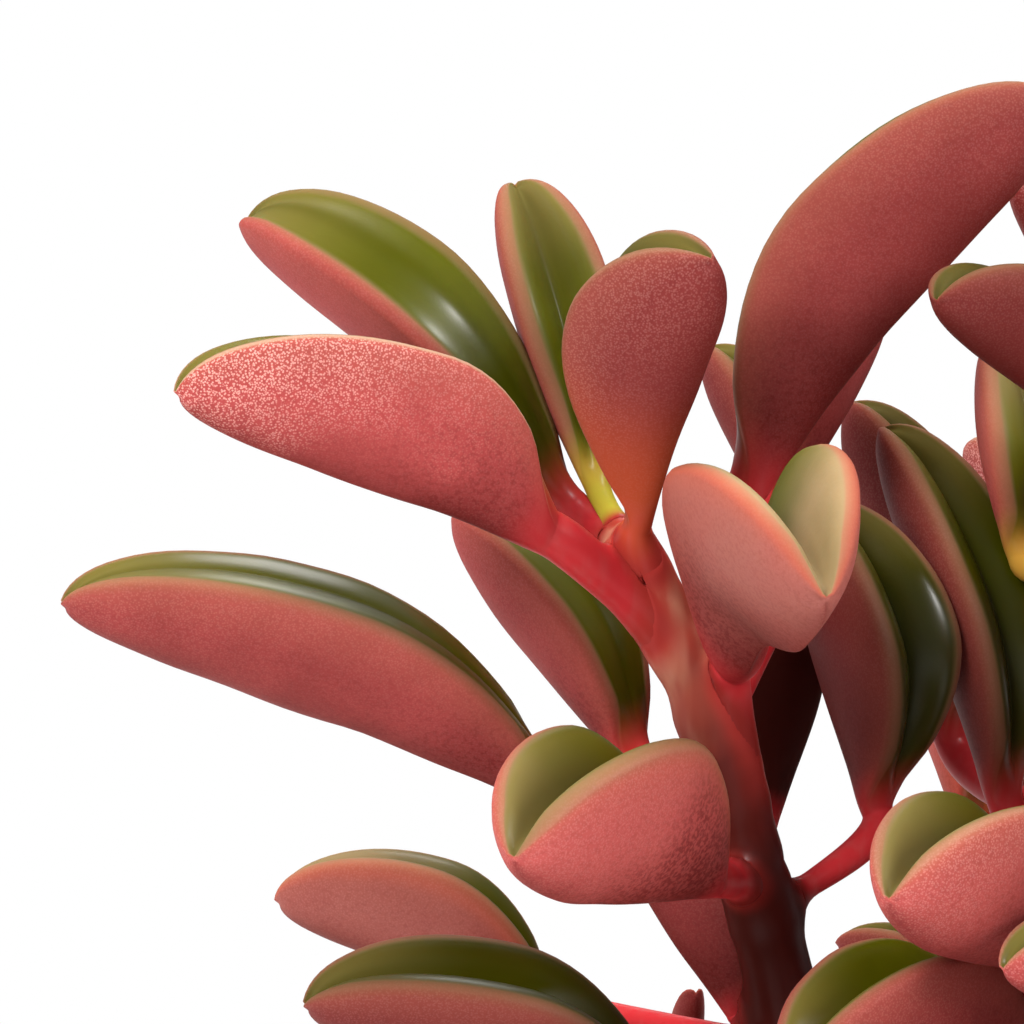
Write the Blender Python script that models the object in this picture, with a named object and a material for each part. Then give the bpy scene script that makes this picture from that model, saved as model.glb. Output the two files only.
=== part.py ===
# Potted peperomia: a plain clay pot, its soil, and leafy stems with thick, boat-shaped leaves.
# Metres, +Z up, origin at the centre of the pot's foot. The viewer of the front stands at -Y.

import math
import random

import bpy
import bmesh
from mathutils import Matrix, Vector
from mathutils.bvhtree import BVHTree

MM = 0.001

# Pot
POT_HEIGHT = 0.106
POT_RIM_RADIUS = 0.060
POT_RIM_BAND = 0.022
POT_RIM_STEP = 0.0035
POT_FOOT_RADIUS = 0.041
POT_WALL = 0.0045
POT_FLOOR = 0.006
POT_EDGE = 0.0012
POT_SIDES = 40
DRAIN_COUNT = 3
DRAIN_RADIUS = 0.0045
DRAIN_RING = 0.022

# Soil
SOIL_TOP = 0.097
SOIL_GAP = 0.0008
SOIL_HUMP = 0.0018
SOIL_SIDES = 28
SOIL_RINGS = 5
HOLE_CLEARANCE = 0.0009
HOLE_DEPTH = 0.0225
HOLE_SIDES = 10

# Stems
STEM_BURIED = 0.026
STEM_SIDES = 8
STEM_STEP = 0.0105
CURVE_STEPS = 40

# Leaves
PETIOLE_STATIONS = (0.0, 0.5)
BLADE_STATIONS = (0.04, 0.15, 0.33, 0.54, 0.74, 0.90, 0.985)
SECTION_SHARES = (0.0, 0.22, 0.42, 0.53, 0.62, 1.0)
PLAIN_BLADE_STATIONS = (0.05, 0.22, 0.45, 0.68, 0.87, 0.98)
PLAIN_SECTION_SHARES = (0.0, 0.26, 0.50, 0.62, 1.0)
OUTER_SHARE = 0.50
RIM_SHARE = 0.62
KEEL_POWER = 1.15
GROOVE_POWER = 0.85
GROOVE_FLOOR = 0.40
RIM_THICKNESS = 0.0018
TAPER = 1.5
TIP_LIFT = 0.30
ROOT_FLARE = 0.45
PETIOLE_PULL = 0.6

# Growth rule for the leaves that are not placed one by one
GROWTH_SEED = 11
GOLDEN_ANGLE = math.radians(137.5)
CLEARANCE = 0.0007
TURN_STEP = math.radians(9)
LIFT_STEP = math.radians(6)
TURN_TRIES = 11
LIFT_TRIES = 5
LOWEST_LEAF = 0.1068
LOW_RISE = 8
HIGH_RISE = 58
SHORT_BLADE = 24
MORE_BLADE = 15
SHORT_PETIOLE = 8
MORE_PETIOLE = 6
DEPTH_SHARE = 0.31
HALF_SHARE = 0.135
PLAIN_PETIOLE = 0.0015
OPEN_SIDE_X = -0.0185
OPEN_SIDE_Z = 0.1325
OPEN_TOP_X = -0.0065
OPEN_TOP_Z = 0.183
VIEW_SLOPE = 0.14

# Centre lines in millimetres, from the soil up. Radii are at the foot and at the tip.
# The first leaf of the growth rule stands at share "first" of the stem, turned by "turn".
# Short shoots grow smaller leaves ("size") that rise less toward the tip ("rise", in degrees).
STEMS = {
    "front_left": {
        "line": [(-20, -9, 101), (-23, -12, 118), (-26, -14, 135), (-29, -18, 148), (-33, -21, 162), (-38, -22, 174), (-40, -22, 178)],
        "radii": (4.6, 2.1),
    },
    "middle": {
        "line": [(1, -11, 101), (2, -14, 118), (3, -16, 137), (2, -14, 158), (2, -11, 176), (3, -9, 186)],
        "radii": (4.4, 2.0),
        "leaves": 5,
        "first": 0.36,
        "turn": 20,
    },
    "right_front": {
        "line": [(22, -17, 101), (27, -21, 116), (33, -25, 134), (38, -28, 152), (42, -31, 168)],
        "radii": (4.2, 2.0),
        "leaves": 9,
        "first": 0.20,
        "turn": 250,
    },
    "right": {
        "line": [(32, 6, 101), (39, 8, 118), (46, 9, 138), (50, 9, 158), (53, 8, 174)],
        "radii": (4.2, 2.0),
        "leaves": 9,
        "first": 0.22,
        "turn": 10,
    },
    "back_right": {
        "line": [(18, 25, 101), (20, 29, 120), (22, 31, 142), (23, 31, 166), (24, 30, 188)],
        "radii": (4.4, 2.0),
        "leaves": 10,
        "first": 0.24,
        "turn": 120,
    },
    "back": {
        "line": [(-5, 26, 101), (-4, 33, 116), (-2, 39, 132), (0, 43, 148), (1, 46, 160)],
        "radii": (4.0, 1.9),
        "leaves": 8,
        "first": 0.20,
        "turn": 60,
    },
    "front_shoot": {
        "line": [(2, -31, 101), (4, -35, 108), (6, -40, 116), (8, -44, 124)],
        "radii": (3.2, 1.8),
        "leaves": 7,
        "first": 0.30,
        "turn": 200,
        "size": 0.75,
    },
    "right_shoot": {
        "line": [(39, -17, 101), (43, -20, 107), (47, -23, 113), (51, -26, 119)],
        "radii": (3.0, 1.7),
        "leaves": 6,
        "first": 0.35,
        "turn": 300,
        "size": 0.75,
        "rise": 34,
    },
    "rear_shoot": {
        "line": [(9, 40, 101), (11, 44, 107), (13, 48, 113), (15, 52, 119)],
        "radii": (3.0, 1.7),
        "leaves": 6,
        "first": 0.35,
        "turn": 30,
        "size": 0.75,
        "rise": 34,
    },
    "back_left_shoot": {
        "line": [(-25, 25, 101), (-28, 29, 107), (-31, 32, 112), (-34, 35, 116)],
        "radii": (3.0, 1.7),
        "leaves": 7,
        "first": 0.40,
        "turn": 90,
        "size": 0.75,
        "rise": 14,
    },
    "left_shoot": {
        "line": [(-34, 9, 101), (-38, 11, 107), (-42, 12, 112), (-46, 13, 116)],
        "radii": (3.0, 1.7),
        "leaves": 7,
        "first": 0.40,
        "turn": 150,
        "size": 0.75,
        "rise": 14,
    },
}

# Leaves placed one by one, in millimetres: the point where the blade leaves its petiole and its tip,
# the blade's depth from keel to margin, its half width, and the share of the stem where it grows.
# Roll turns the open side about the blade, in degrees, and bow arches the blade by a share of its length.
# Peak is where along the blade it is fullest, and lift is how far the keel rises at the tip.
# A plain one is mostly hidden by its neighbours.
PLACED = {
    "front_left": [
        {"at": 0.94, "base": (-45, -18, 181), "tip": (-73, -10, 203), "depth": 11.0, "half": 5.0, "roll": -38, "bow": 0.06, "peak": 0.60},
        {"at": 0.88, "base": (-47, -27, 180), "tip": (-78, -36, 191), "depth": 12.2, "half": 5.4, "roll": 2, "bow": 0.03, "peak": 0.42, "petiole": 2.0},
        {"at": 0.70, "base": (-45.5, -18, 155.5), "tip": (-88.5, -24, 171.5), "depth": 11.4, "half": 5.4, "roll": -13, "bow": 0.03},
        {"at": 0.985, "base": (-39.5, -25, 180), "tip": (-31.5, -37, 202.5), "depth": 12.0, "half": 4.6, "roll": 30, "bow": 0.03, "peak": 0.68},
        {"at": 0.97, "base": (-42.5, -18, 182), "tip": (-50, -8, 207), "depth": 8.0, "half": 4.4, "roll": -22, "bow": 0.0, "peak": 0.60},
        {"at": 0.74, "base": (-39, -13, 158), "tip": (-55.5, -2, 176.5), "depth": 9.5, "half": 4.8, "roll": -10, "bow": 0.0},
        {"at": 0.77, "base": (-30, -16, 182), "tip": (-1.5, -14, 213), "depth": 13.5, "half": 5.4, "roll": -8, "bow": 0.05, "peak": 0.52, "petiole": 1.9},
        {"at": 0.64, "base": (-31, -24, 168), "tip": (-24, -48, 171.5), "depth": 18.0, "half": 7.0, "roll": 6, "bow": 0.06, "peak": 0.46, "petiole": 1.9, "lift": 0.42},
        {"at": 0.60, "base": (-33, -26, 150), "tip": (-50, -50, 153.5), "depth": 14.5, "half": 6.8, "roll": 0, "bow": 0.0, "petiole": 1.9},
        {"at": 0.56, "base": (-18, -8, 152.5), "tip": (-26, -2, 178), "depth": 13.0, "half": 5.2, "roll": -8, "bow": 0.0, "petiole": 1.4},
        {"at": 0.58, "base": (-27.5, 4, 150.5), "tip": (-22, 4, 167), "depth": 8.0, "half": 4.8, "roll": 0, "bow": 0.0, "plain": True},
        {"at": 0.40, "base": (-46, -4, 134.5), "tip": (-71, 0, 141.5), "depth": 9.8, "half": 5.0, "roll": 4, "bow": 0.03},
        {"at": 0.30, "base": (-36, -18, 128), "tip": (-68, -24, 137), "depth": 11.0, "half": 5.4, "roll": -20, "bow": 0.02},
        {"at": 0.80, "base": (-27, -1, 179), "tip": (-16.5, 6, 195.5), "depth": 8.5, "half": 4.2, "roll": 0, "bow": 0.0, "plain": True},
        {"at": 0.76, "base": (-26, 2, 178), "tip": (-33, 8, 191), "depth": 6.5, "half": 3.6, "roll": 0, "bow": 0.0, "plain": True},
        {"at": 0.42, "base": (-30, -12, 136), "tip": (-41, -13, 152), "depth": 9.0, "half": 4.2, "roll": 0, "bow": 0.0, "plain": True},
        {"at": 0.22, "base": (-30, -17, 126), "tip": (-46, -30, 128), "depth": 9.5, "half": 4.6, "roll": 0, "bow": 0.03, "plain": True},
    ],
    "middle": [
        {"at": 0.42, "base": (-2, -26, 143.5), "tip": (-19.5, -50, 150.5), "depth": 14.0, "half": 6.4, "roll": 0, "bow": 0.0, "petiole": 1.9},
        {"at": 0.48, "base": (-6.5, -4, 152.5), "tip": (-18, 4, 184), "depth": 9.5, "half": 5.0, "roll": -12, "bow": 0.03},
        {"at": 0.58, "base": (-10.5, 8, 156), "tip": (-21, 14, 185), "depth": 10.5, "half": 5.0, "roll": 0, "bow": 0.0, "plain": True},
        {"at": 0.32, "base": (-6, -24, 133), "tip": (-26.5, -44, 134), "depth": 12.5, "half": 5.6, "roll": 0, "bow": 0.05},
        {"at": 0.94, "base": (1.5, -20, 187), "tip": (-15, -34, 199), "depth": 9.5, "half": 5.0, "roll": 4, "bow": 0.03},
        {"at": 0.88, "base": (-5, -5, 174.5), "tip": (-7.5, 2, 192.5), "depth": 8.5, "half": 4.6, "roll": 0, "bow": 0.0},
    ],
}


def clear_scene():
    """Removes whatever the file opened with."""
    for obj in list(bpy.data.objects):
        bpy.data.objects.remove(obj)


def material(name, color, roughness):
    """A plain Principled material."""
    made = bpy.data.materials.new(name)
    made.use_nodes = True
    shader = made.node_tree.nodes["Principled BSDF"]
    shader.inputs["Base Color"].default_value = (*color, 1.0)
    shader.inputs["Roughness"].default_value = roughness
    made.diffuse_color = (*color, 1.0)
    return made


def mesh_object(name, points, faces, surface):
    """An object from points and faces, with its normals out and its faces split into triangles."""
    mesh = bpy.data.meshes.new(name)
    mesh.from_pydata([tuple(point) for point in points], [], faces)
    work = bmesh.new()
    work.from_mesh(mesh)
    bmesh.ops.recalc_face_normals(work, faces=work.faces)
    bmesh.ops.triangulate(work, faces=work.faces)
    work.to_mesh(mesh)
    work.free()
    mesh.materials.append(surface)
    obj = bpy.data.objects.new(name, mesh)
    bpy.context.scene.collection.objects.link(obj)
    return obj


def skin(rings, apex=None):
    """Points and faces of a closed tube through rings of points, ending in a flat cap or in an apex."""
    around = len(rings[0])
    points = [point for ring in rings for point in ring]
    faces = [tuple(reversed(range(around)))]
    for start in range(0, (len(rings) - 1) * around, around):
        for i in range(around):
            j = (i + 1) % around
            faces.append((start + i, start + j, start + around + j, start + around + i))
    last = (len(rings) - 1) * around
    if apex is None:
        faces.append(tuple(range(last, last + around)))
    else:
        points.append(apex)
        faces += [(last + i, last + (i + 1) % around, len(points) - 1) for i in range(around)]
    return points, faces


def smooth_line(corners, steps=CURVE_STEPS):
    """Points on a Catmull-Rom curve through the corners, with the ends doubled."""
    knots = [corners[0] * 2 - corners[1], *corners, corners[-1] * 2 - corners[-2]]
    line = []
    for a, b, c, d in zip(knots, knots[1:], knots[2:], knots[3:]):
        for k in range(steps):
            t = k / steps
            line.append(
                (b * 2 + (c - a) * t + (a * 2 - b * 5 + c * 4 - d) * t**2 + (b * 3 - a - c * 3 + d) * t**3) / 2
            )
    line.append(corners[-1].copy())
    return line


class Stem:
    """A stem's centre line above the soil, read by its share of the length, and its buried foot."""

    def __init__(self, name, facts):
        self.name = name
        self.facts = facts
        self.line = smooth_line([Vector(corner) * MM for corner in facts["line"]])
        self.reach = [0.0]
        for a, b in zip(self.line, self.line[1:]):
            self.reach.append(self.reach[-1] + (b - a).length)
        self.foot, self.tip = (radius * MM for radius in facts["radii"])

    def point(self, share):
        wanted = share * self.reach[-1]
        for k in range(len(self.line) - 1):
            if self.reach[k + 1] >= wanted:
                span = self.reach[k + 1] - self.reach[k]
                return self.line[k].lerp(self.line[k + 1], (wanted - self.reach[k]) / span)
        return self.line[-1].copy()

    def direction(self, share):
        return (self.point(min(1, share + 0.03)) - self.point(max(0, share - 0.03))).normalized()

    def radius(self, share):
        return self.foot + (self.tip - self.foot) * share**0.8

    def rings(self, step, sides):
        """Rings up the stem, with a straight buried length below and a rounded tip above."""
        stations = 3 + round(self.reach[-1] / step)
        root = self.line[0]
        rings = [self.ring(root - Vector((0, 0, STEM_BURIED)), Vector((0, 0, 1)), self.foot, sides)]
        for k in range(stations):
            share = k / (stations - 1)
            along = Vector((0, 0, 1)) if k == 0 else self.direction(share)
            rings.append(self.ring(self.point(share), along, self.radius(share), sides))
        top, along = self.line[-1], self.direction(1)
        rings.append(self.ring(top + along * self.tip * 0.7, along, self.tip * 0.72, sides))
        return rings, top + along * self.tip

    @staticmethod
    def ring(centre, along, radius, sides):
        across = (Vector((0, 1, 0)).cross(along)).normalized()
        other = along.cross(across)
        turn = [2 * math.pi * i / sides for i in range(sides)]
        return [centre + (across * math.cos(a) + other * math.sin(a)) * radius for a in turn]


def upper_side(along, roll):
    """The way a blade's open side faces: straight up from the blade, turned about it by roll."""
    up = Vector((0, 0, 1))
    top = (up - along * up.dot(along)).normalized()
    return Matrix.Rotation(roll, 3, along) @ top


def half_section(share, half, depth, floor, rim):
    """A point on half of the blade's section, from the keel, over the margin, down to the groove."""
    if share <= OUTER_SHARE:
        angle = share / OUTER_SHARE * math.pi / 2
        return half * math.sin(angle) ** KEEL_POWER, (depth - rim / 2) * (1 - math.cos(angle))
    if share <= RIM_SHARE:
        angle = (share - OUTER_SHARE) / (RIM_SHARE - OUTER_SHARE) * math.pi
        return half - rim / 2 + rim / 2 * math.cos(angle), depth - rim / 2 + rim / 2 * math.sin(angle)
    inward = 1 - (share - RIM_SHARE) / (1 - RIM_SHARE)
    return (half - rim) * inward, floor + (depth - rim / 2 - floor) * inward**GROOVE_POWER


def swelling(v, peak):
    """How full a blade is at share v of its length: narrow at the petiole, full at the peak, blunt at the tip."""
    if v < peak:
        return math.sin(math.pi / 2 * v / peak) ** (TAPER * peak)
    return math.sqrt(max(0.0, 1 - ((v - peak) / (1 - peak)) ** 2))


def section(v, leaf, shares):
    """The closed section of a blade at share v of its length: round at the petiole, a deep V beyond."""
    radius = leaf["petiole"]
    full = swelling(v, leaf["peak"])
    stalk = 2 * radius * (1 - v) ** 3
    depth = math.hypot(leaf["depth"] * full, stalk)
    half = math.hypot(leaf["half"] * full**0.85, stalk / 2)
    floor = min(depth * 0.98, math.hypot(GROOVE_FLOOR * leaf["depth"] * full**0.9, 2 * radius * (1 - v) ** 8))
    rim = min(RIM_THICKNESS, 0.55 * half)
    folded = min(1.0, v / 0.16)
    folded = folded * folded * (3 - 2 * folded)
    low = -radius if v < leaf["peak"] else leaf["lift"] * leaf["depth"] * (1 - full) - radius
    side = []
    for share in shares:
        y, z = half_section(share, half, depth, floor, rim)
        angle = share * math.pi
        round_y, round_z = half * math.sin(angle), depth / 2 * (1 - math.cos(angle))
        side.append((round_y + (y - round_y) * folded, low + round_z + (z - round_z) * folded))
    return side + [(-y, z) for y, z in reversed(side[1:-1])]


def leaf_rings(leaf, petiole_stations, blade_stations, shares):
    """Rings of points from the petiole's root, sunk in the stem, to the tip, and the tip's point."""
    root, base, tip = leaf["root"], leaf["base"], leaf["tip"]
    blade = tip - base
    top = upper_side(blade.normalized(), leaf["roll"])
    arch = top * (4 * leaf["bow"] * blade.length)
    reach = (base - root).length
    leave, arrive = base - root, (blade + arch).normalized() * (PETIOLE_PULL * reach)
    stations = []
    for p in petiole_stations:
        place = (
            root * (2 * p**3 - 3 * p**2 + 1)
            + leave * (p**3 - 2 * p**2 + p)
            + base * (3 * p**2 - 2 * p**3)
            + arrive * (p**3 - p**2)
        )
        along = (
            (root - base) * (6 * p**2 - 6 * p)
            + leave * (3 * p**2 - 4 * p + 1)
            + arrive * (3 * p**2 - 2 * p)
        )
        radius = leaf["petiole"] * (1 + ROOT_FLARE * 4 * p * (1 - p) ** 3)
        outline = [(radius * math.sin(a), -radius * math.cos(a)) for a in round_turns(shares)]
        stations.append((place, along.normalized(), outline))
    for v in blade_stations:
        place = base + blade * v + arch * (v * (1 - v))
        along = (blade + arch * (1 - 2 * v)).normalized()
        stations.append((place, along, section(v, leaf, shares)))
    rings = []
    for place, along, outline in reversed(stations):
        top = (top - along * top.dot(along)).normalized()
        across = top.cross(along)
        rings.insert(0, [place + across * y + top * z for y, z in outline])
    last_top = upper_side((blade - arch).normalized(), leaf["roll"])
    apex = tip + last_top * (leaf["lift"] * leaf["depth"] - leaf["petiole"])
    return rings, apex


def round_turns(shares):
    """Angles round the petiole for the same shares as the blade's section."""
    turns = [share * math.pi for share in shares]
    return turns + [-turn for turn in reversed(turns[1:-1])]


def finished_leaf(stem, facts):
    """A placed leaf in metres, with the sizes that its entry leaves out."""
    return {
        "root": stem.point(facts["at"]),
        "base": Vector(facts["base"]) * MM,
        "tip": Vector(facts["tip"]) * MM,
        "depth": facts["depth"] * MM,
        "half": facts["half"] * MM,
        "petiole": facts.get("petiole", 1.6) * MM,
        "roll": math.radians(facts["roll"]),
        "bow": facts["bow"],
        "peak": facts.get("peak", 0.5),
        "lift": facts.get("lift", TIP_LIFT),
        "plain": facts.get("plain", False),
    }


def grown_leaf(stem, share, azimuth, lift, chance):
    """A leaf that follows the growth rule: flat and large low on the stem, upright and small at its tip."""
    size = stem.facts.get("size", 1.0)
    root = stem.point(share)
    steep = math.radians(LOW_RISE + stem.facts.get("rise", HIGH_RISE) * share**1.6) + lift + chance["steep"]
    grown = math.sin(math.pi * min(1, 0.30 + 0.62 * (1 - share)))
    blade = (SHORT_BLADE + MORE_BLADE * grown + chance["length"]) * size * MM
    petiole = (SHORT_PETIOLE + MORE_PETIOLE * (1 - share) + chance["petiole"]) * size * MM + stem.radius(share)
    base = root + heading(azimuth, steep * 0.7) * petiole
    return {
        "root": root,
        "base": base,
        "tip": base + heading(azimuth, steep) * blade,
        "depth": blade * DEPTH_SHARE,
        "half": blade * HALF_SHARE,
        "petiole": PLAIN_PETIOLE * (0.4 + 0.6 * size),
        "roll": chance["roll"],
        "bow": chance["bow"],
        "peak": chance["peak"],
        "lift": TIP_LIFT,
        "plain": True,
    }


def heading(azimuth, steep):
    """The direction that rises by steep above the level in the azimuth."""
    level = math.cos(steep)
    return Vector((math.cos(azimuth) * level, math.sin(azimuth) * level, math.sin(steep)))


def on_open_side(points):
    """True if a leaf reaches the open left side or top, where only the placed leaves stand."""
    for point in points:
        seen = point.z + VIEW_SLOPE * point.y
        if point.x < OPEN_SIDE_X and seen > OPEN_SIDE_Z:
            return True
        if point.x < OPEN_TOP_X and seen > OPEN_TOP_Z:
            return True
    return False


def leaf_shape(leaf):
    """Rings and tip of a leaf for this model; a plain leaf has fewer sides."""
    if leaf["plain"]:
        return leaf_rings(leaf, PETIOLE_STATIONS, PLAIN_BLADE_STATIONS, PLAIN_SECTION_SHARES)
    return leaf_rings(leaf, PETIOLE_STATIONS, BLADE_STATIONS, SECTION_SHARES)


def leaf_bodies(leaf, margin):
    """Search trees of a leaf and of its blade alone, both grown by a margin, and the leaf's points."""
    wide = {**leaf, "depth": leaf["depth"] + margin, "half": leaf["half"] + margin}
    wide["petiole"] = leaf["petiole"] + margin
    rings, apex = leaf_shape(wide)
    whole = skin(rings, apex)
    blade = skin(rings[len(PETIOLE_STATIONS):], apex)
    return {
        "whole": BVHTree.FromPolygons(*whole),
        "blade": BVHTree.FromPolygons(*blade),
        "points": whole[0],
        "centre": (leaf["base"] + leaf["tip"]) / 2,
        "reach": (leaf["tip"] - leaf["root"]).length,
    }


def is_clear(leaf, stem, stem_trees, grown):
    """True if a leaf stays off every other leaf and stem, off the soil and off the open side."""
    body = leaf_bodies(leaf, CLEARANCE)
    if on_open_side(body["points"]) or min(point.z for point in body["points"]) < LOWEST_LEAF:
        return False
    for name, tree in stem_trees.items():
        if (body["blade"] if name == stem.name else body["whole"]).overlap(tree):
            return False
    for name, other in grown:
        if (other["centre"] - body["centre"]).length > other["reach"] + body["reach"]:
            continue
        if name != stem.name and other["whole"].overlap(body["whole"]):
            return False
        if other["blade"].overlap(body["whole"]) or other["whole"].overlap(body["blade"]):
            return False
    return True


def grow(stems):
    """Every leaf of every stem: first the placed ones, then those that the growth rule finds room for."""
    leaves = {stem.name: [finished_leaf(stem, facts) for facts in PLACED.get(stem.name, [])] for stem in stems}
    grown = [(name, leaf_bodies(leaf, 0)) for name, placed in leaves.items() for leaf in placed]
    stem_trees = {stem.name: BVHTree.FromPolygons(*skin(*stem.rings(STEM_STEP, STEM_SIDES))) for stem in stems}
    draw = random.Random(GROWTH_SEED)
    for stem in stems:
        count = stem.facts.get("leaves", 0)
        for i in range(count):
            share = stem.facts["first"] + (1 - stem.facts["first"]) * (i + 0.6) / count
            azimuth = math.radians(stem.facts["turn"]) + i * GOLDEN_ANGLE
            chance = {
                "steep": math.radians(draw.uniform(-8, 8)),
                "length": draw.uniform(-3, 3),
                "petiole": draw.uniform(-1.5, 2),
                "roll": math.radians(draw.uniform(-20, 20)),
                "bow": draw.uniform(0.0, 0.05),
                "peak": draw.uniform(0.44, 0.60),
            }
            leaf = first_clear(stem, share, azimuth, chance, stem_trees, grown)
            if leaf:
                leaves[stem.name].append(leaf)
                grown.append((stem.name, leaf_bodies(leaf, 0)))
    return leaves


def first_clear(stem, share, azimuth, chance, stem_trees, grown):
    """The first clear leaf, turned and then lifted step by step away from its ideal place."""
    for rise in range(LIFT_TRIES):
        for turn in range(TURN_TRIES):
            shift = (turn + 1) // 2 * (1 if turn % 2 else -1)
            leaf = grown_leaf(stem, share, azimuth + shift * TURN_STEP, rise * LIFT_STEP, chance)
            if is_clear(leaf, stem, stem_trees, grown):
                return leaf
    return None


def fuse(obj, parts, solver="EXACT"):
    """Joins the parts to the object by one union, and removes them."""
    group = bpy.data.collections.new(obj.name + "_parts")
    bpy.context.scene.collection.children.link(group)
    for part in parts:
        bpy.context.scene.collection.objects.unlink(part)
        group.objects.link(part)
    union = obj.modifiers.new("union", "BOOLEAN")
    union.operation = "UNION"
    union.solver = solver
    union.operand_type = "COLLECTION"
    union.collection = group
    apply_modifiers(obj)
    for part in parts:
        bpy.data.objects.remove(part)
    bpy.data.collections.remove(group)


def apply_modifiers(obj):
    """Keeps what the modifiers made as the object's own mesh."""
    graph = bpy.context.evaluated_depsgraph_get()
    mesh = bpy.data.meshes.new_from_object(obj.evaluated_get(graph))
    obj.modifiers.clear()
    obj.data = mesh


def leafy_stem(stem, leaves, surface):
    """One stem with its leaves grown into it, as a single body."""
    obj = mesh_object("leafy_stem_" + stem.name, *skin(*stem.rings(STEM_STEP, STEM_SIDES)), surface)
    blades = [mesh_object(f"{stem.name}_leaf_{i}", *skin(*leaf_shape(leaf)), surface) for i, leaf in enumerate(leaves)]
    fuse(obj, blades)
    return obj


def inner_radius(height):
    """Radius of the pot's inside at a height."""
    share = height / POT_HEIGHT
    return POT_FOOT_RADIUS + (POT_RIM_RADIUS - POT_RIM_STEP - POT_FOOT_RADIUS) * share - POT_WALL


def pot(surface):
    """A plain clay pot: a tapered cup with a rim band and drain holes round a solid centre."""
    band = POT_HEIGHT - POT_RIM_BAND
    body_top = POT_FOOT_RADIUS + (POT_RIM_RADIUS - POT_RIM_STEP - POT_FOOT_RADIUS) * band / POT_HEIGHT
    profile = [
        (0, 0),
        (POT_FOOT_RADIUS - POT_EDGE, 0),
        (POT_FOOT_RADIUS, POT_EDGE),
        (body_top, band),
        (POT_RIM_RADIUS - POT_EDGE, band + POT_EDGE),
        (POT_RIM_RADIUS, band + 2 * POT_EDGE),
        (POT_RIM_RADIUS, POT_HEIGHT - POT_EDGE),
        (POT_RIM_RADIUS - POT_EDGE, POT_HEIGHT),
        (inner_radius(POT_HEIGHT) + POT_EDGE, POT_HEIGHT),
        (inner_radius(POT_HEIGHT - POT_EDGE), POT_HEIGHT - POT_EDGE),
        (inner_radius(POT_FLOOR), POT_FLOOR),
        (0, POT_FLOOR),
    ]
    obj = turned_cup("pot", profile, POT_SIDES, surface)
    cutters = []
    for k in range(DRAIN_COUNT):
        angle = 2 * math.pi * (k + 0.5) / DRAIN_COUNT
        place = (DRAIN_RING * math.cos(angle), DRAIN_RING * math.sin(angle))
        cutters.append(upright_cylinder(place, -POT_FLOOR, 2 * POT_FLOOR, DRAIN_RADIUS, 12))
    cut(obj, cutters)
    return obj


def turned_cup(name, profile, sides, surface):
    """Turned from an open outline whose two ends lie on the axis."""
    points, faces, rings = [], [], []
    for r, z in profile:
        if r == 0:
            rings.append([len(points)])
            points.append((0, 0, z))
            continue
        rings.append(list(range(len(points), len(points) + sides)))
        points += [(r * math.cos(t), r * math.sin(t), z) for t in (2 * math.pi * k / sides for k in range(sides))]
    for low, high in zip(rings, rings[1:]):
        for k in range(sides):
            j = (k + 1) % sides
            if len(low) == 1:
                faces.append((low[0], high[j], high[k]))
            elif len(high) == 1:
                faces.append((low[k], low[j], high[0]))
            else:
                faces.append((low[k], low[j], high[j], high[k]))
    return mesh_object(name, points, faces, surface)


def upright_cylinder(place, low, high, radius, sides):
    """A helper cylinder for cutting a vertical hole."""
    ring = [(radius * math.cos(t), radius * math.sin(t)) for t in (2 * math.pi * k / sides for k in range(sides))]
    rings = [[Vector((place[0] + x, place[1] + y, z)) for x, y in ring] for z in (low, high)]
    mesh = bpy.data.meshes.new("cutter")
    points, faces = skin(rings)
    mesh.from_pydata([tuple(point) for point in points], [], faces)
    work = bmesh.new()
    work.from_mesh(mesh)
    bmesh.ops.recalc_face_normals(work, faces=work.faces)
    work.to_mesh(mesh)
    work.free()
    obj = bpy.data.objects.new("cutter", mesh)
    bpy.context.scene.collection.objects.link(obj)
    obj.hide_render = True
    obj.display_type = "WIRE"
    return obj


def cut(obj, cutters):
    """Cuts the cutters out of the object, and removes them."""
    for cutter in cutters:
        hole = obj.modifiers.new("hole", "BOOLEAN")
        hole.operation = "DIFFERENCE"
        hole.solver = "EXACT"
        hole.object = cutter
    apply_modifiers(obj)
    for cutter in cutters:
        bpy.data.objects.remove(cutter)


def soil_height(x, y):
    """The soil's surface: a low hump with slow bumps, level at the pot's wall."""
    radius = math.hypot(x, y)
    edge = max(0.0, 1 - (radius / inner_radius(SOIL_TOP)) ** 2)
    bumps = 0.5 * math.sin(150 * x + 1.3) * math.sin(170 * y + 0.4) + 0.3 * math.sin(310 * x - 260 * y)
    return SOIL_TOP + SOIL_HUMP * edge * (0.6 + bumps)


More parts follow.
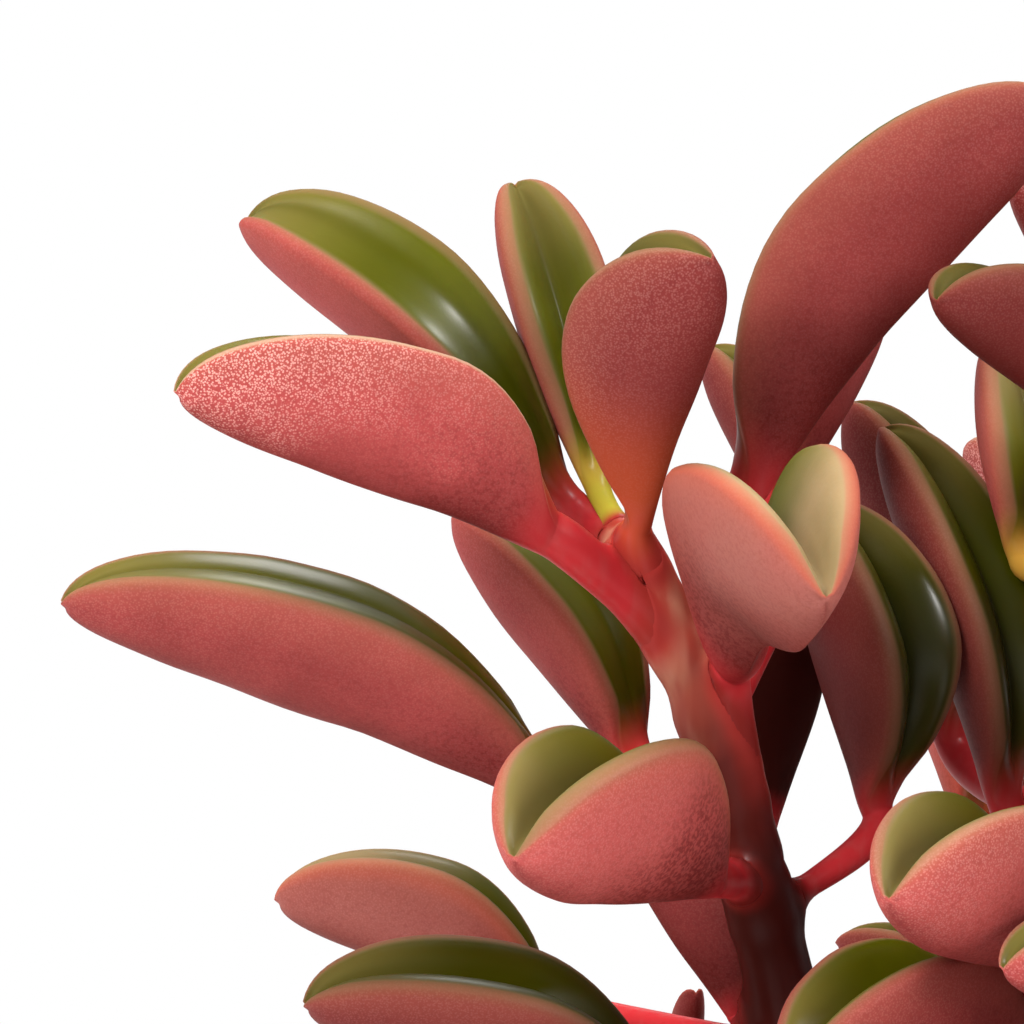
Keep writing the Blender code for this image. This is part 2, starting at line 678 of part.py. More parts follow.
def soil(stems, surface):
    """The soil: a plug that fills the pot, with a plain hole for each stem."""
    low = POT_FLOOR + SOIL_GAP
    levels = [(0, low), (inner_radius(low) - SOIL_GAP, low), (inner_radius(SOIL_TOP) - SOIL_GAP, SOIL_TOP - 0.0015)]
    levels += [((inner_radius(SOIL_TOP) - SOIL_GAP) * (1 - k / SOIL_RINGS) ** 0.9, None) for k in range(1, SOIL_RINGS)]
    levels.append((0, None))
    points, faces, rings = [], [], []
    for radius, height in levels:
        sides = 1 if radius == 0 else SOIL_SIDES
        rings.append(list(range(len(points), len(points) + sides)))
        for k in range(sides):
            x, y = radius * math.cos(2 * math.pi * k / sides), radius * math.sin(2 * math.pi * k / sides)
            points.append((x, y, soil_height(x, y) if height is None else height))
    for low_ring, high_ring in zip(rings, rings[1:]):
        for k in range(SOIL_SIDES):
            j = (k + 1) % SOIL_SIDES
            if len(low_ring) == 1:
                faces.append((low_ring[0], high_ring[j], high_ring[k]))
            elif len(high_ring) == 1:
                faces.append((low_ring[k], low_ring[j], high_ring[0]))
            else:
                faces.append((low_ring[k], low_ring[j], high_ring[j], high_ring[k]))
    obj = mesh_object("soil", points, faces, surface)
    cutters = []
    for stem in stems:
        foot = stem.line[0]
        place = (foot.x, foot.y)
        cutters.append(upright_cylinder(place, SOIL_TOP - HOLE_DEPTH, 2 * SOIL_TOP, stem.foot + HOLE_CLEARANCE, HOLE_SIDES))
    cut(obj, cutters)
    return obj


def main():
    clear_scene()
    clay = material("clay", (0.55, 0.24, 0.14), 0.85)
    earth = material("earth", (0.045, 0.028, 0.018), 0.95)
    ruby = material("ruby_leaf", (0.45, 0.10, 0.09), 0.45)
    stems = [Stem(name, facts) for name, facts in STEMS.items()]
    leaves = grow(stems)
    for stem in stems:
        leafy_stem(stem, leaves[stem.name], ruby)
    pot(clay)
    soil(stems, earth)


main()
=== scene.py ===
# Potted peperomia: fine leafy stems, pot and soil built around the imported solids, in a plain pale studio.
# Metres, +Z up, origin at the centre of the pot's foot. The viewer of the front stands at -Y.

import math
import random

import bmesh
import bpy
from mathutils import Matrix, Vector, noise
from mathutils.bvhtree import BVHTree
from mathutils.kdtree import KDTree


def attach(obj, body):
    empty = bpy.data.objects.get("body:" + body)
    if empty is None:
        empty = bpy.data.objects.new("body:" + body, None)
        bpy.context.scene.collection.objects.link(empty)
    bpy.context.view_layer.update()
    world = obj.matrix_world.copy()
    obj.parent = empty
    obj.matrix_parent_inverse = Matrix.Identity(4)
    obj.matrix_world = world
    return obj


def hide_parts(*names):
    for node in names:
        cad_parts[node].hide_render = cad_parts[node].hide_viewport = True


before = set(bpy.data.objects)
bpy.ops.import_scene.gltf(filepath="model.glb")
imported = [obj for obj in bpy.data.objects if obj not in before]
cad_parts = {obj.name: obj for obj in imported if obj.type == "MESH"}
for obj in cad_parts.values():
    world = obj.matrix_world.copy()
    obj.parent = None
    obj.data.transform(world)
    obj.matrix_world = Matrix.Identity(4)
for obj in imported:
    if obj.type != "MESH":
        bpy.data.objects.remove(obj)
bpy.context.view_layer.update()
mm = 0.001
up = Vector((0, 0, 1))

# The photo's view: its middle lies on the front left of the plant, seen from close by and a little above
view = {
    "target": (-0.050, -0.022, 0.181),
    "elevation": 8.0,
    "distance": 0.600,
    "frameWidth": 0.08704,  # what the frame spans at the target
    "sensor": 36.0,
}


def newObject(name, data):
    made = bpy.data.objects.new(name, data)
    bpy.context.scene.collection.objects.link(made)
    return made


def makeCamera():
    rise = math.radians(view["elevation"])
    back = Vector((0, -math.cos(rise), math.sin(rise)))
    data = bpy.data.cameras.new("camera")
    data.sensor_width = view["sensor"]
    data.lens = view["sensor"] * view["distance"] / view["frameWidth"]
    data.clip_start, data.clip_end = 0.01, 30
    camera = newObject("camera", data)
    camera.location = Vector(view["target"]) + back * view["distance"]
    camera.rotation_mode = "QUATERNION"
    camera.rotation_quaternion = (-back).to_track_quat("-Z", "Y")
    bpy.context.scene.camera = camera


makeCamera()
print("camera: done")


# Shader and geometry trees: a Link is a node's output that takes part in Python sums
class Link:
    def __init__(self, tree, socket):
        self.tree, self.socket = tree, socket

    def maths(self, operation, *values):
        settings = {"operation": operation}
        return self.tree.node("ShaderNodeMath", settings, dict(enumerate(values)))

    def __add__(self, other):
        return self.maths("ADD", self, other)

    def __sub__(self, other):
        return self.maths("SUBTRACT", self, other)

    def __rsub__(self, other):
        return self.maths("SUBTRACT", other, self)

    def __mul__(self, other):
        return self.maths("MULTIPLY", self, other)

    __radd__, __rmul__ = __add__, __mul__


class Tree:
    def __init__(self, owner):
        self.tree = owner

    def node(self, kind, settings=None, values=None, output=0):
        made = self.tree.nodes.new(kind)
        for name, value in (settings or {}).items():
            if name == "stops":
                ramp = made.color_ramp.elements
                while len(ramp) < len(value):
                    ramp.new(0.5)
                for stop, (place, colour) in zip(ramp, value):
                    stop.position, stop.color = place, (*colour, 1.0)
            else:
                setattr(made, name, value)
        for name, value in (values or {}).items():
            if isinstance(value, Link):
                self.tree.links.new(value.socket, made.inputs[name])
            else:
                made.inputs[name].default_value = value
        return Link(self, made.outputs[output]) if made.outputs else None

    def attribute(self, name):
        return self.node("ShaderNodeAttribute", {"attribute_name": name}, output="Fac")

    def rise(self, value, low, high):  # 0 below low, 1 above high, smooth between
        values = {"Value": value, "From Min": low, "From Max": high}
        return self.node("ShaderNodeMapRange", {"interpolation_type": "SMOOTHSTEP"}, values)

    def mix(self, share, first, second):
        first, second = (c if isinstance(c, Link) else (*c, 1.0) for c in (first, second))
        settings = {"data_type": "RGBA", "clamp_factor": True}
        return self.node("ShaderNodeMix", settings, {0: share, 6: first, 7: second}, output=2)

    def noise(self, where, scale, detail=3.0, roughness=0.5):
        values = {"Vector": where, "Scale": scale, "Detail": detail, "Roughness": roughness}
        return self.node("ShaderNodeTexNoise", None, values)

    def cells(self, where, scale):
        return self.node("ShaderNodeTexVoronoi", {"feature": "F1"}, {"Vector": where, "Scale": scale})

    def stretched(self, where, scale):
        return self.node("ShaderNodeMapping", None, {"Vector": where, "Scale": scale})

    def place(self):
        return self.node("ShaderNodeTexCoord", output="Object")

    def bump(self, height, distance, strength, under=None):
        values = {"Height": height, "Distance": distance, "Strength": strength}
        if under:
            values["Normal"] = under
        return self.node("ShaderNodeBump", None, values)

    def chance(self, kind, low, high, seed):  # a random value for each point
        first, output = {"FLOAT_VECTOR": (0, 0), "FLOAT": (2, 1)}[kind]
        values = {first: low, first + 1: high, "Seed": seed}
        return self.node("FunctionNodeRandomValue", {"data_type": kind}, values, output)


socketNames = {
    "colour": "Base Color",
    "roughness": "Roughness",
    "normal": "Normal",
    "coat": "Coat Weight",
    "coatRoughness": "Coat Roughness",
    "specular": "Specular IOR Level",
    "subsurface": "Subsurface Weight",
    "subsurfaceRadius": "Subsurface Radius",
    "subsurfaceScale": "Subsurface Scale",
}


def newMaterial(name):
    made = bpy.data.materials.new(name)
    made.use_nodes = True
    return made, Tree(made.node_tree), made.node_tree.nodes["Principled BSDF"]


def setShader(tree, shader, **values):
    for name, value in values.items():
        socket = shader.inputs[socketNames[name]]
        if isinstance(value, Link):
            tree.tree.links.new(value.socket, socket)
        else:
            socket.default_value = value


# Leaf colours: ruby outside, a green window inside the fold, a pale line on the margin
leafColours = {
    "ruby": (0.200, 0.030, 0.028),
    "rose": (0.460, 0.074, 0.072),
    # dark red of the keel, also the painted shade toward the petiole and on the blade's low side
    "keel": (0.110, 0.008, 0.007),
    # pale papillae, and the painted glints on them
    "papillaGlint": (0.88, 0.46, 0.40),
    "edge": (0.38, 0.105, 0.070),
    "dusty": (0.33, 0.105, 0.085),
    "orange": (0.46, 0.095, 0.050),
    "warm": (0.43, 0.066, 0.024),
    "marginLine": (0.46, 0.28, 0.19),
    "marginTan": (0.200, 0.125, 0.058),
    "window": (0.090, 0.094, 0.001),
    # deep window green, also the painted shade on shaded leaves, deep in the fold and along the groove
    "windowDeepShade": (0.034, 0.035, 0.0),
    "windowTip": (0.170, 0.132, 0.034),
    "dustyWindow": (0.37, 0.255, 0.14),
    "shadeRed": (0.060, 0.010, 0.007),
    "shadeGreen": (0.016, 0.014, 0.001),
    "petiole": (0.50, 0.027, 0.033),
    "petioleRoot": (0.36, 0.030, 0.024),
    # dark petiole root low on a stem, partly painted shade as at the stem's foot
    "lowRoot": (0.17, 0.013, 0.011),
    # a yellow green petiole with painted light shining through it from behind
    "glow": (0.46, 0.40, 0.04),
}
leafScales = {  # of the patterns, in turns over a metre
    "cloud": 110,  # slow patches
    "grain": 2400,
    "papillaGlint": 5000,  # fine pale dots, painted glints where the light falls
    "streak": 900,  # along the petiole
}
flesh = {  # light that enters leaves and stems, and how far its red, green and blue travel
    "subsurface": 0.12,
    "subsurfaceRadius": (0.0020, 0.0006, 0.0003),
    "subsurfaceScale": 1.0,
}


def leafMaterial():
    made, t, shader = newMaterial("peperomiaLeaf")
    c = leafColours
    where = t.place()
    across, along = t.attribute("across"), t.attribute("along")
    tint, glow = t.attribute("tint"), t.attribute("glow")
    dusty, warm, frost = t.attribute("dusty"), t.attribute("warm"), t.attribute("frost")
    joined = t.attribute("joined")

    # Where the surface is: inside the fold, on the margin, on the blade, at the tip
    cloud = t.noise(where, leafScales["cloud"], 3.0) - 0.5
    inside = t.rise(across + cloud * 0.02, frost * 0.03 + 0.480, 0.600 - frost * 0.04)
    line = t.rise(across, 0.520, 0.536) * (1 - t.rise(across, 0.540, 0.560)) * frost
    blade = t.rise(along, -0.02, 0.16)
    tip = t.rise(along, 0.60, 1.0)
    # Painted shade: a tint below 0 darkens a leaf toward deep red and green
    shade = t.rise(0 - tint, 0.0, 1.0)

    # Outside of the fold
    # Ruby to rose by tint, the rose partly painting the light on better lit leaves
    outer = t.mix(t.rise(tint + cloud * 0.6, 0.05, 1.0), c["ruby"], c["rose"])
    outer = t.mix(dusty * (0.9 + cloud) * t.rise(along, -0.05, 0.50), outer, c["dusty"])
    # Darker toward the keel; painted shade toward the petiole, where the blade curves under, deeper on rose
    # and frosted leaves
    outer = t.mix((1 - t.rise(across + cloud * 0.1, 0.02, 0.32)) * 0.55, outer, c["keel"])
    shadedBase = 1 - t.rise(along + across * 0.5 + cloud * 0.4, 0.10, 0.65)
    outer = t.mix(shadedBase * (0.34 + t.rise(tint, 0.0, 1.0) * 0.30 + frost * 0.42), outer, c["keel"])
    # Dark grain, stronger in the painted shade toward the petiole
    grain = t.noise(where, leafScales["grain"], 2.0)
    outer = t.mix(t.rise(grain, 0.46, 0.64) * (shadedBase * 0.40 + 0.14), outer, c["keel"])
    # Painted shade on the blade's low side, broken into dark patches
    lowSide = (1 - t.rise(along * 0.7 + across * 0.9 + cloud * 0.6, 0.38, 0.86)) * t.attribute("mottled")
    outer = t.mix(lowSide * (t.rise(grain, 0.38, 0.60) * 0.5 + 0.35), outer, c["keel"])
    outer = t.mix(t.rise(across, 0.34, 0.53) * 0.35, outer, c["edge"])
    outer = t.mix(t.rise(across + cloud * 0.05, 0.44, 0.51) * dusty * 0.6, outer, c["orange"])
    outer = t.mix((1 - t.rise(along, 0.10, 0.60)) * warm, outer, c["warm"])
    # Pale papillae, brightened into painted glints where the light falls on the upper blade
    raised = 1 - t.rise(t.cells(where, leafScales["papillaGlint"]), 0.22, 0.60)
    paintedGlint = t.rise(across * 0.7 + along * 0.5 + cloud * 0.6, 0.30, 0.86) * t.rise(along, 0.05, 0.45) * frost
    outer = t.mix(raised * (0.025 + paintedGlint * 0.72), outer, c["papillaGlint"])
    outer = t.mix(shade, outer, c["shadeRed"])

    # Inside of the fold
    # Painted shade in the window: darker on shaded leaves, toward the petiole deep in the fold, and along the
    # groove
    green = t.mix(t.rise(tint + cloud * 0.7, -0.3, 0.9), c["windowDeepShade"], c["window"])
    green = t.mix((1 - t.rise(along, 0.05, 0.50)) * 0.65, green, c["windowDeepShade"])
    green = t.mix(tip * 0.70, green, c["windowTip"])
    green = t.mix(t.rise(across, 0.78, 1.0) * 0.35, green, c["windowDeepShade"])
    green = t.mix((1 - t.rise(across + cloud * 0.06, 0.550, 0.64)) * 0.80, green, c["marginTan"])
    green = t.mix(dusty * t.rise(along, 0.30, 0.85) * (0.75 + cloud), green, c["dustyWindow"])
    green = t.mix(shade, green, c["shadeGreen"])

    colour = t.mix(inside, outer, green)
    colour = t.mix(line * 0.75, colour, c["marginLine"])

    # Petiole and its root on the stem
    streak = t.noise(t.stretched(where, (1.0, 1.0, 0.25)), leafScales["streak"], 1.0)
    stalk = t.mix(warm * 0.8, c["petiole"], c["warm"])
    stalk = t.mix(t.rise(streak, 0.40, 0.75) * 0.35, stalk, c["rose"])
    colour = t.mix(blade, stalk, colour)
    # Painted light shining through a yellow green petiole from behind
    colour = t.mix(glow * (1 - t.rise(along, -0.02, 0.22)), colour, c["glow"])
    # Petiole roots low on the stems are darker, partly painted shade as at the stem's foot
    root = t.mix(t.rise(t.attribute("at"), 0.50, 0.95), c["lowRoot"], c["petioleRoot"])
    colour = t.mix(t.rise(joined, 0.05, 0.85) * (1 - blade), colour, root)

    gloss = t.rise(across, 0.57, 0.70) * blade * (1 - tip * 0.5) * (1 - dusty * 0.85) * (1 - shade * 0.7)
    gloss = gloss * (1 - t.rise(across, 0.84, 1.0) * 0.8)
    setShader(
        t,
        shader,
        colour=colour,
        roughness=0.58 - gloss * 0.12 - (1 - blade) * 0.14,
        normal=t.bump(grain, 0.00006, 0.30),
        coat=gloss * 0.50 + (1 - blade) * 0.10,
        coatRoughness=0.28,
        specular=0.08,
        **flesh,
    )
    return made


stemColours = {
    # the foot's dark maroon is partly painted shade low in the plant, under the leaves
    "foot": (0.060, 0.0070, 0.005),
    "middle": (0.095, 0.012, 0.009),
    "top": (0.42, 0.085, 0.055),
    "pale": (0.54, 0.25, 0.16),
    "scar": (0.10, 0.03, 0.02),
}


def stemMaterial():
    made, t, shader = newMaterial("peperomiaStem")
    c = stemColours
    where = t.place()
    along, scar, joined = t.attribute("along"), t.attribute("tint"), t.attribute("joined")
    # Darker toward the foot: the stem's own darker red and painted shade under the leaves; paler toward the
    # top
    stops = [(0.0, c["foot"]), (0.56, c["foot"]), (0.76, c["middle"]), (0.93, c["top"])]
    colour = t.node("ShaderNodeValToRGB", {"stops": stops}, {"Fac": along})
    streak = t.noise(t.stretched(where, (1.0, 1.0, 0.14)), 420, 2.0)
    colour = t.mix(t.rise(streak, 0.36, 0.70) * t.rise(along, 0.72, 0.95) * 0.75, colour, c["pale"])
    # Petiole roots low on the stem are darker, partly painted shade as at its foot
    root = t.mix(t.rise(along, 0.50, 0.95), leafColours["lowRoot"], leafColours["petioleRoot"])
    colour = t.mix(t.rise(joined, 0.25, 0.98), colour, root)
    colour = t.mix(t.rise(scar, 0.5, 1.0) * 0.5, colour, c["scar"])
    setShader(
        t,
        shader,
        colour=colour,
        roughness=0.46,
        normal=t.bump(streak, 0.00008, 0.15),
        coat=0.05,
        coatRoughness=0.26,
        specular=0.10,
        **flesh,
    )
    return made


potColours = {
    "clay": (0.44, 0.165, 0.085),
    "clayPale": (0.56, 0.27, 0.165),
    "clayDark": (0.27, 0.085, 0.045),
    "bloom": (0.62, 0.50, 0.42),
}


def potMaterial():
    made, t, shader = newMaterial("firedClay")
    c = potColours
    where = t.place()
    height = t.node("ShaderNodeSeparateXYZ", None, {0: where}, output="Z")
    cloud = t.noise(where, 22, 4.0)
    colour = t.mix(t.rise(cloud, 0.30, 0.70), c["clay"], c["clayPale"])
    turning = t.noise(t.stretched(where, (0.06, 0.06, 1.0)), 420, 2.0)
    colour = t.mix(t.rise(turning, 0.50, 0.72) * 0.25, colour, c["clayDark"])
    grit = t.noise(where, 1500, 2.0)
    colour = t.mix(t.rise(grit, 0.60, 0.74) * 0.35, colour, c["clayDark"])
    colour = t.mix(t.rise(1 - grit, 0.62, 0.76) * 0.30, colour, c["bloom"])
    top = potShape["height"]
    damp = 1 - t.rise(height, top * 0.02, top * 0.24)
    damp = damp * t.rise(t.noise(where, 60, 5.0, 0.65), 0.42, 0.62)
    rim = t.rise(height, top * 0.93, top)
    rim = rim * t.rise(t.noise(where, 90, 5.0, 0.65), 0.45, 0.68)
    colour = t.mix(damp * 0.45, colour, c["bloom"])
    colour = t.mix(rim * 0.40, colour, c["bloom"])
    skin = t.bump(turning, 0.0004, 0.30)
    skin = t.bump(grit, 0.0002, 0.35, skin)
    setShader(t, shader, colour=colour, roughness=0.86 - damp * 0.06, normal=skin, specular=0.25)
    return made


def soilMaterial(name, dark, light, scale):
    made, t, shader = newMaterial(name)
    where = t.place()
    mottle = t.noise(where, scale, 4.0, 0.6)
    colour = t.mix(t.rise(mottle, 0.32, 0.68), dark, light)
    skin = t.bump(t.noise(where, scale * 6, 3.0), 0.0003, 0.6)
    setShader(t, shader, colour=colour, roughness=0.95 - mottle * 0.10, normal=skin, specular=0.2)
    return made


# The plant's own facts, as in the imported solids. Centre lines in millimetres, from the soil up.
# The first leaf of the growth rule stands at share "first" of the stem, turned by "turn". Size is that
# of its leaves beside full ones, and rise the degrees by which they stand steeper at the stem's tip.
stemFacts = {
    "front_left": {
        "line": [
            (-20, -9, 101), (-23, -12, 118), (-26, -14, 135), (-29, -18, 148), (-33, -21, 162),
            (-38, -22, 174), (-40, -22, 178),
        ],
        "radii": (4.6, 2.1),
    },
    "middle": {
        "line": [(1, -11, 101), (2, -14, 118), (3, -16, 137), (2, -14, 158), (2, -11, 176), (3, -9, 186)],
        "radii": (4.4, 2.0),
        "leaves": 5,
        "first": 0.36,
        "turn": 20,
    },
    "right_front": {
        "line": [(22, -17, 101), (27, -21, 116), (33, -25, 134), (38, -28, 152), (42, -31, 168)],
        "radii": (4.2, 2.0),
        "leaves": 9,
        "first": 0.20,
        "turn": 250,
    },
    "right": {
        "line": [(32, 6, 101), (39, 8, 118), (46, 9, 138), (50, 9, 158), (53, 8, 174)],
        "radii": (4.2, 2.0),
        "leaves": 9,
        "first": 0.22,
        "turn": 10,
    },
    "back_right": {
        "line": [(18, 25, 101), (20, 29, 120), (22, 31, 142), (23, 31, 166), (24, 30, 188)],
        "radii": (4.4, 2.0),
        "leaves": 10,
        "first": 0.24,
        "turn": 120,
    },
    "back": {
        "line": [(-5, 26, 101), (-4, 33, 116), (-2, 39, 132), (0, 43, 148), (1, 46, 160)],
        "radii": (4.0, 1.9),
        "leaves": 8,
        "first": 0.20,
        "turn": 60,
    },
    "front_shoot": {
        "line": [(2, -31, 101), (4, -35, 108), (6, -40, 116), (8, -44, 124)],
        "radii": (3.2, 1.8),
        "leaves": 7,
        "first": 0.30,
        "turn": 200,
        "size": 0.75,
    },
    "right_shoot": {
        "line": [(39, -17, 101), (43, -20, 107), (47, -23, 113), (51, -26, 119)],
        "radii": (3.0, 1.7),
        "leaves": 6,
        "first": 0.35,
        "turn": 300,
        "size": 0.75,
        "rise": 34,
    },
    "rear_shoot": {
        "line": [(9, 40, 101), (11, 44, 107), (13, 48, 113), (15, 52, 119)],
        "radii": (3.0, 1.7),
        "leaves": 6,
        "first": 0.35,
        "turn": 30,
        "size": 0.75,
        "rise": 34,
    },
    "back_left_shoot": {
        "line": [(-25, 25, 101), (-28, 29, 107), (-31, 32, 112), (-34, 35, 116)],
        "radii": (3.0, 1.7),
        "leaves": 7,
        "first": 0.40,
        "turn": 90,
        "size": 0.75,
        "rise": 14,
    },
    "left_shoot": {
        "line": [(-34, 9, 101), (-38, 11, 107), (-42, 12, 112), (-46, 13, 116)],
        "radii": (3.0, 1.7),
        "leaves": 7,
        "first": 0.40,
        "turn": 150,
        "size": 0.75,
        "rise": 14,
    },
}


def placed(at, base, tip, depth, half, roll=0, bow=0.0, **more):
    facts = {"at": at, "base": base, "tip": tip, "depth": depth, "half": half, "roll": roll, "bow": bow}
    return {**facts, **more}


# Leaves placed one by one, in millimetres: the share of the stem where each grows, the point where the
# blade leaves its petiole, its tip, its depth from keel to margin and its half width. Roll turns the
# open side about the blade, in degrees, and bow arches the blade by a share of its length.
placedLeaves = {
    "front_left": [
        placed(
            0.94, (-45, -18, 181), (-73, -10, 203), 11.0, 5.0, -38, 0.06,
            peak=0.60, tint=0.5, wrap=0.05, otherWrap=-0.05, crease=0.0, domed=0.14,
        ),
        placed(
            0.88, (-47, -27, 180), (-78, -36, 191), 12.2, 5.4, 2, 0.03,
            peak=0.42, petiole=2.0, tint=0.68, twist=14, frost=1.0, crease=0.35,
        ),
        placed(
            0.70, (-45.5, -18, 155.5), (-88.5, -24, 171.5), 11.4, 5.4, -13, 0.03,
            tint=0.35, crease=0.12, domed=0.05,
        ),
        placed(
            0.93, (-39.5, -25, 180), (-31.5, -37, 202.5), 12.0, 4.6, 30, 0.03,
            peak=0.68, tint=-0.22, warm=1.0, frost=0.15, slim=0.78,
        ),
        placed(
            0.97, (-42.5, -18, 182), (-50, -8, 207), 8.0, 4.4, -22,
            peak=0.60, petiole=1.1, tint=0.45, glow=1.0, opened=0.8, crease=0.0, dusty=0.10,
        ),
        placed(
            0.74, (-39, -13, 158), (-55.5, -2, 176.5), 9.5, 4.8, -10,
            tint=0.45, wrap=0.02, crease=0.1, domed=0.05,
        ),
        placed(
            0.77, (-30, -16, 182), (-1.5, -14, 213), 13.5, 5.4, -8, 0.05,
            peak=0.52, petiole=1.9, tint=0.2,
        ),
        placed(
            0.64, (-31, -24, 168), (-24, -48, 171.5), 18.0, 7.0, 6, 0.06,
            peak=0.46, petiole=1.9, lift=0.42, tint=0.6, dusty=1.0, wrap=0.03, opened=1.0,
            keelRise=0.7, keel=1.7, waisted=2.0, frost=0.0, slim=0.8, mottled=0.4,
        ),
        placed(
            0.60, (-33, -26, 150), (-50, -50, 153.5), 14.5, 6.8,
            petiole=1.9, tint=1.0, dusty=0.25, wrap=-0.03, otherWrap=0.02, opened=1.0, frost=0.12,
            slim=0.85, mottled=1.0,
        ),
        placed(0.56, (-18, -8, 152.5), (-26, -2, 178), 13.0, 5.2, -8, petiole=1.4, tint=-0.30),
        placed(0.58, (-27.5, 4, 150.5), (-22, 4, 167), 8.0, 4.8, plain=True, tint=-1.0),
        placed(0.40, (-46, -4, 134.5), (-71, 0, 141.5), 9.8, 5.0, 4, 0.03, tint=0.05, dusty=0.7, crease=0.35),
        placed(0.30, (-36, -18, 128), (-68, -24, 137), 11.0, 5.4, -20, 0.02, tint=-0.35, crease=0.35),
        placed(0.80, (-27, -1, 179), (-16.5, 6, 195.5), 8.5, 4.2, plain=True, tint=0.4),
        placed(0.76, (-26, 2, 178), (-33, 8, 191), 6.5, 3.6, plain=True, tint=0.2),
        placed(0.42, (-30, -12, 136), (-41, -13, 152), 9.0, 4.2, plain=True, tint=0.3),
        placed(0.22, (-30, -17, 126), (-46, -30, 128), 9.5, 4.6, 0, 0.03, plain=True),
    ],
    "middle": [
        placed(
            0.42, (-2, -26, 143.5), (-19.5, -50, 150.5), 14.0, 6.4,
            petiole=1.9, tint=1.0, dusty=0.25, opened=1.0, frost=0.25, mottled=0.4,
        ),
        placed(0.48, (-6.5, -4, 152.5), (-18, 4, 184), 9.5, 5.0, -12, 0.03, tint=-0.15),
        placed(0.58, (-10.5, 8, 156), (-21, 14, 185), 10.5, 5.0, plain=True, tint=-0.2),
        placed(0.32, (-6, -24, 133), (-26.5, -44, 134), 12.5, 5.6, 0, 0.05, tint=0.3, wrap=0.03, opened=0.5),
        placed(0.94, (1.5, -20, 187), (-15, -34, 199), 9.5, 5.0, 4, 0.03, tint=-0.45),
        placed(0.88, (-5, -5, 174.5), (-7.5, 2, 192.5), 8.5, 4.6, tint=0.9, glow=0.6, dusty=0.4),
    ],
}

# What a leaf has where nothing else is said of it
usualLeaf = {
    "petiole": 1.6,  # radius in millimetres
    "slim": 1.0,  # the fine petiole's radius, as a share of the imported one
    "peak": 0.5,  # share of the blade where it is fullest
    "lift": 0.30,  # how far the keel rises to the tip, as a share of the depth
    "plain": False,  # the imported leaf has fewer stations
    "tint": 0.5,  # from painted deep shade at -1 to rose at 1, also painting how much light reaches a leaf
    "warm": 0.0,  # orange toward the petiole
    "dusty": 0.0,  # a dull, pale skin
    "frost": 0.06,  # how far the pale dots, with their painted glints, and the margin's pale line show
    "mottled": 0.0,  # painted shade low on the blade, broken into dark patches
    "glow": 0.0,  # a yellow green petiole with painted light shining through it from behind
    "wrap": 0.0,  # how far the green reaches over the margin, on both sides unless otherWrap is given
    "opened": 0.0,  # 0 for a closed fold, 1 for an open one
    "crease": 0.55,  # depth of a closed fold, as a share of an open one
    "domed": 0.0,  # how far the inside stands over the margins, as a share of the depth
    "keel": 1.0,  # above 1 the section narrows to a sharper keel
    "keelRise": 1.0,  # below 1 the keel rises sooner
    "waisted": 0.0,  # millimetres by which the keel is drawn in along the blade
    "twist": 0.0,  # degrees from petiole to tip
}

# How leaves are made, and where the growth rule may put them
leafShape = {
    "outer": 0.50,  # shares of half a section, from the keel: the outside, the rim, then the groove
    "rim": 0.62,
    "keelPower": 1.15,
    "groovePower": 0.85,
    "grooveFloor": 0.40,
    "rimThickness": 1.8,  # millimetres
    "taper": 1.5,
    "halfPower": 0.85,  # how the blade's half width and its groove follow its swelling
    "groovePowerAlong": 0.9,
    "foldedBy": 0.16,  # share of the blade in which the petiole's round section folds open
    "rootFlare": 0.45,
    "petiolePull": 0.6,
}
growth = {
    "seed": 11,
    "golden": 137.5,  # degrees from leaf to leaf
    "clearance": 0.7,  # millimetres kept free around a leaf
    "turnStep": 9,  # degrees by which a leaf that finds no room is turned, then lifted
    "liftStep": 6,
    "turnTries": 11,
    "liftTries": 5,
    "lowestLeaf": 0.1068,  # metres, over the pot's rim
    "chances": {  # drawn in this order for each leaf, in degrees, millimetres or shares
        "steep": (-8, 8),
        "length": (-3, 3),
        "petiole": (-1.5, 2),
        "roll": (-20, 20),
        "bow": (0.0, 0.05),
        "peak": (0.44, 0.60),
    },
    "lowRise": 8,  # degrees over the level at the stem's foot, and how many more at its tip
    "highRise": 58,
    "risePower": 1.6,
    "petioleRise": 0.7,  # the petiole's rise, as a share of the blade's
    "shortBlade": 24,
    "moreBlade": 15,
    "shortPetiole": 8,
    "morePetiole": 6,
    "petioleRadius": 1.5,
    "depthShare": 0.31,
    "halfShare": 0.135,
    "openSide": (-0.0185, 0.1325),  # the placed leaves' own part of the view, left of x and over z
    "openTop": (-0.0065, 0.183),
    "viewSlope": 0.14,
}
coarse = {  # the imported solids' own stations, which decide where a leaf finds room
    "petiole": (0.0, 0.5),
    "blade": (0.04, 0.15, 0.33, 0.54, 0.74, 0.90, 0.985),
    "shares": (0.0, 0.22, 0.42, 0.53, 0.62, 1.0),
    "plainBlade": (0.05, 0.22, 0.45, 0.68, 0.87, 0.98),
    "plainShares": (0.0, 0.26, 0.50, 0.62, 1.0),
    "stemStep": 0.0105,
    "stemSides": 8,
    "curveSteps": 40,
    "slope": 0.03,  # share of the stem either way that gives its direction
    "taper": 0.8,
    "tipAt": 0.7,  # the last ring, in radii of the stem's tip
    "tipRadius": 0.72,
    "buried": 0.026,
}
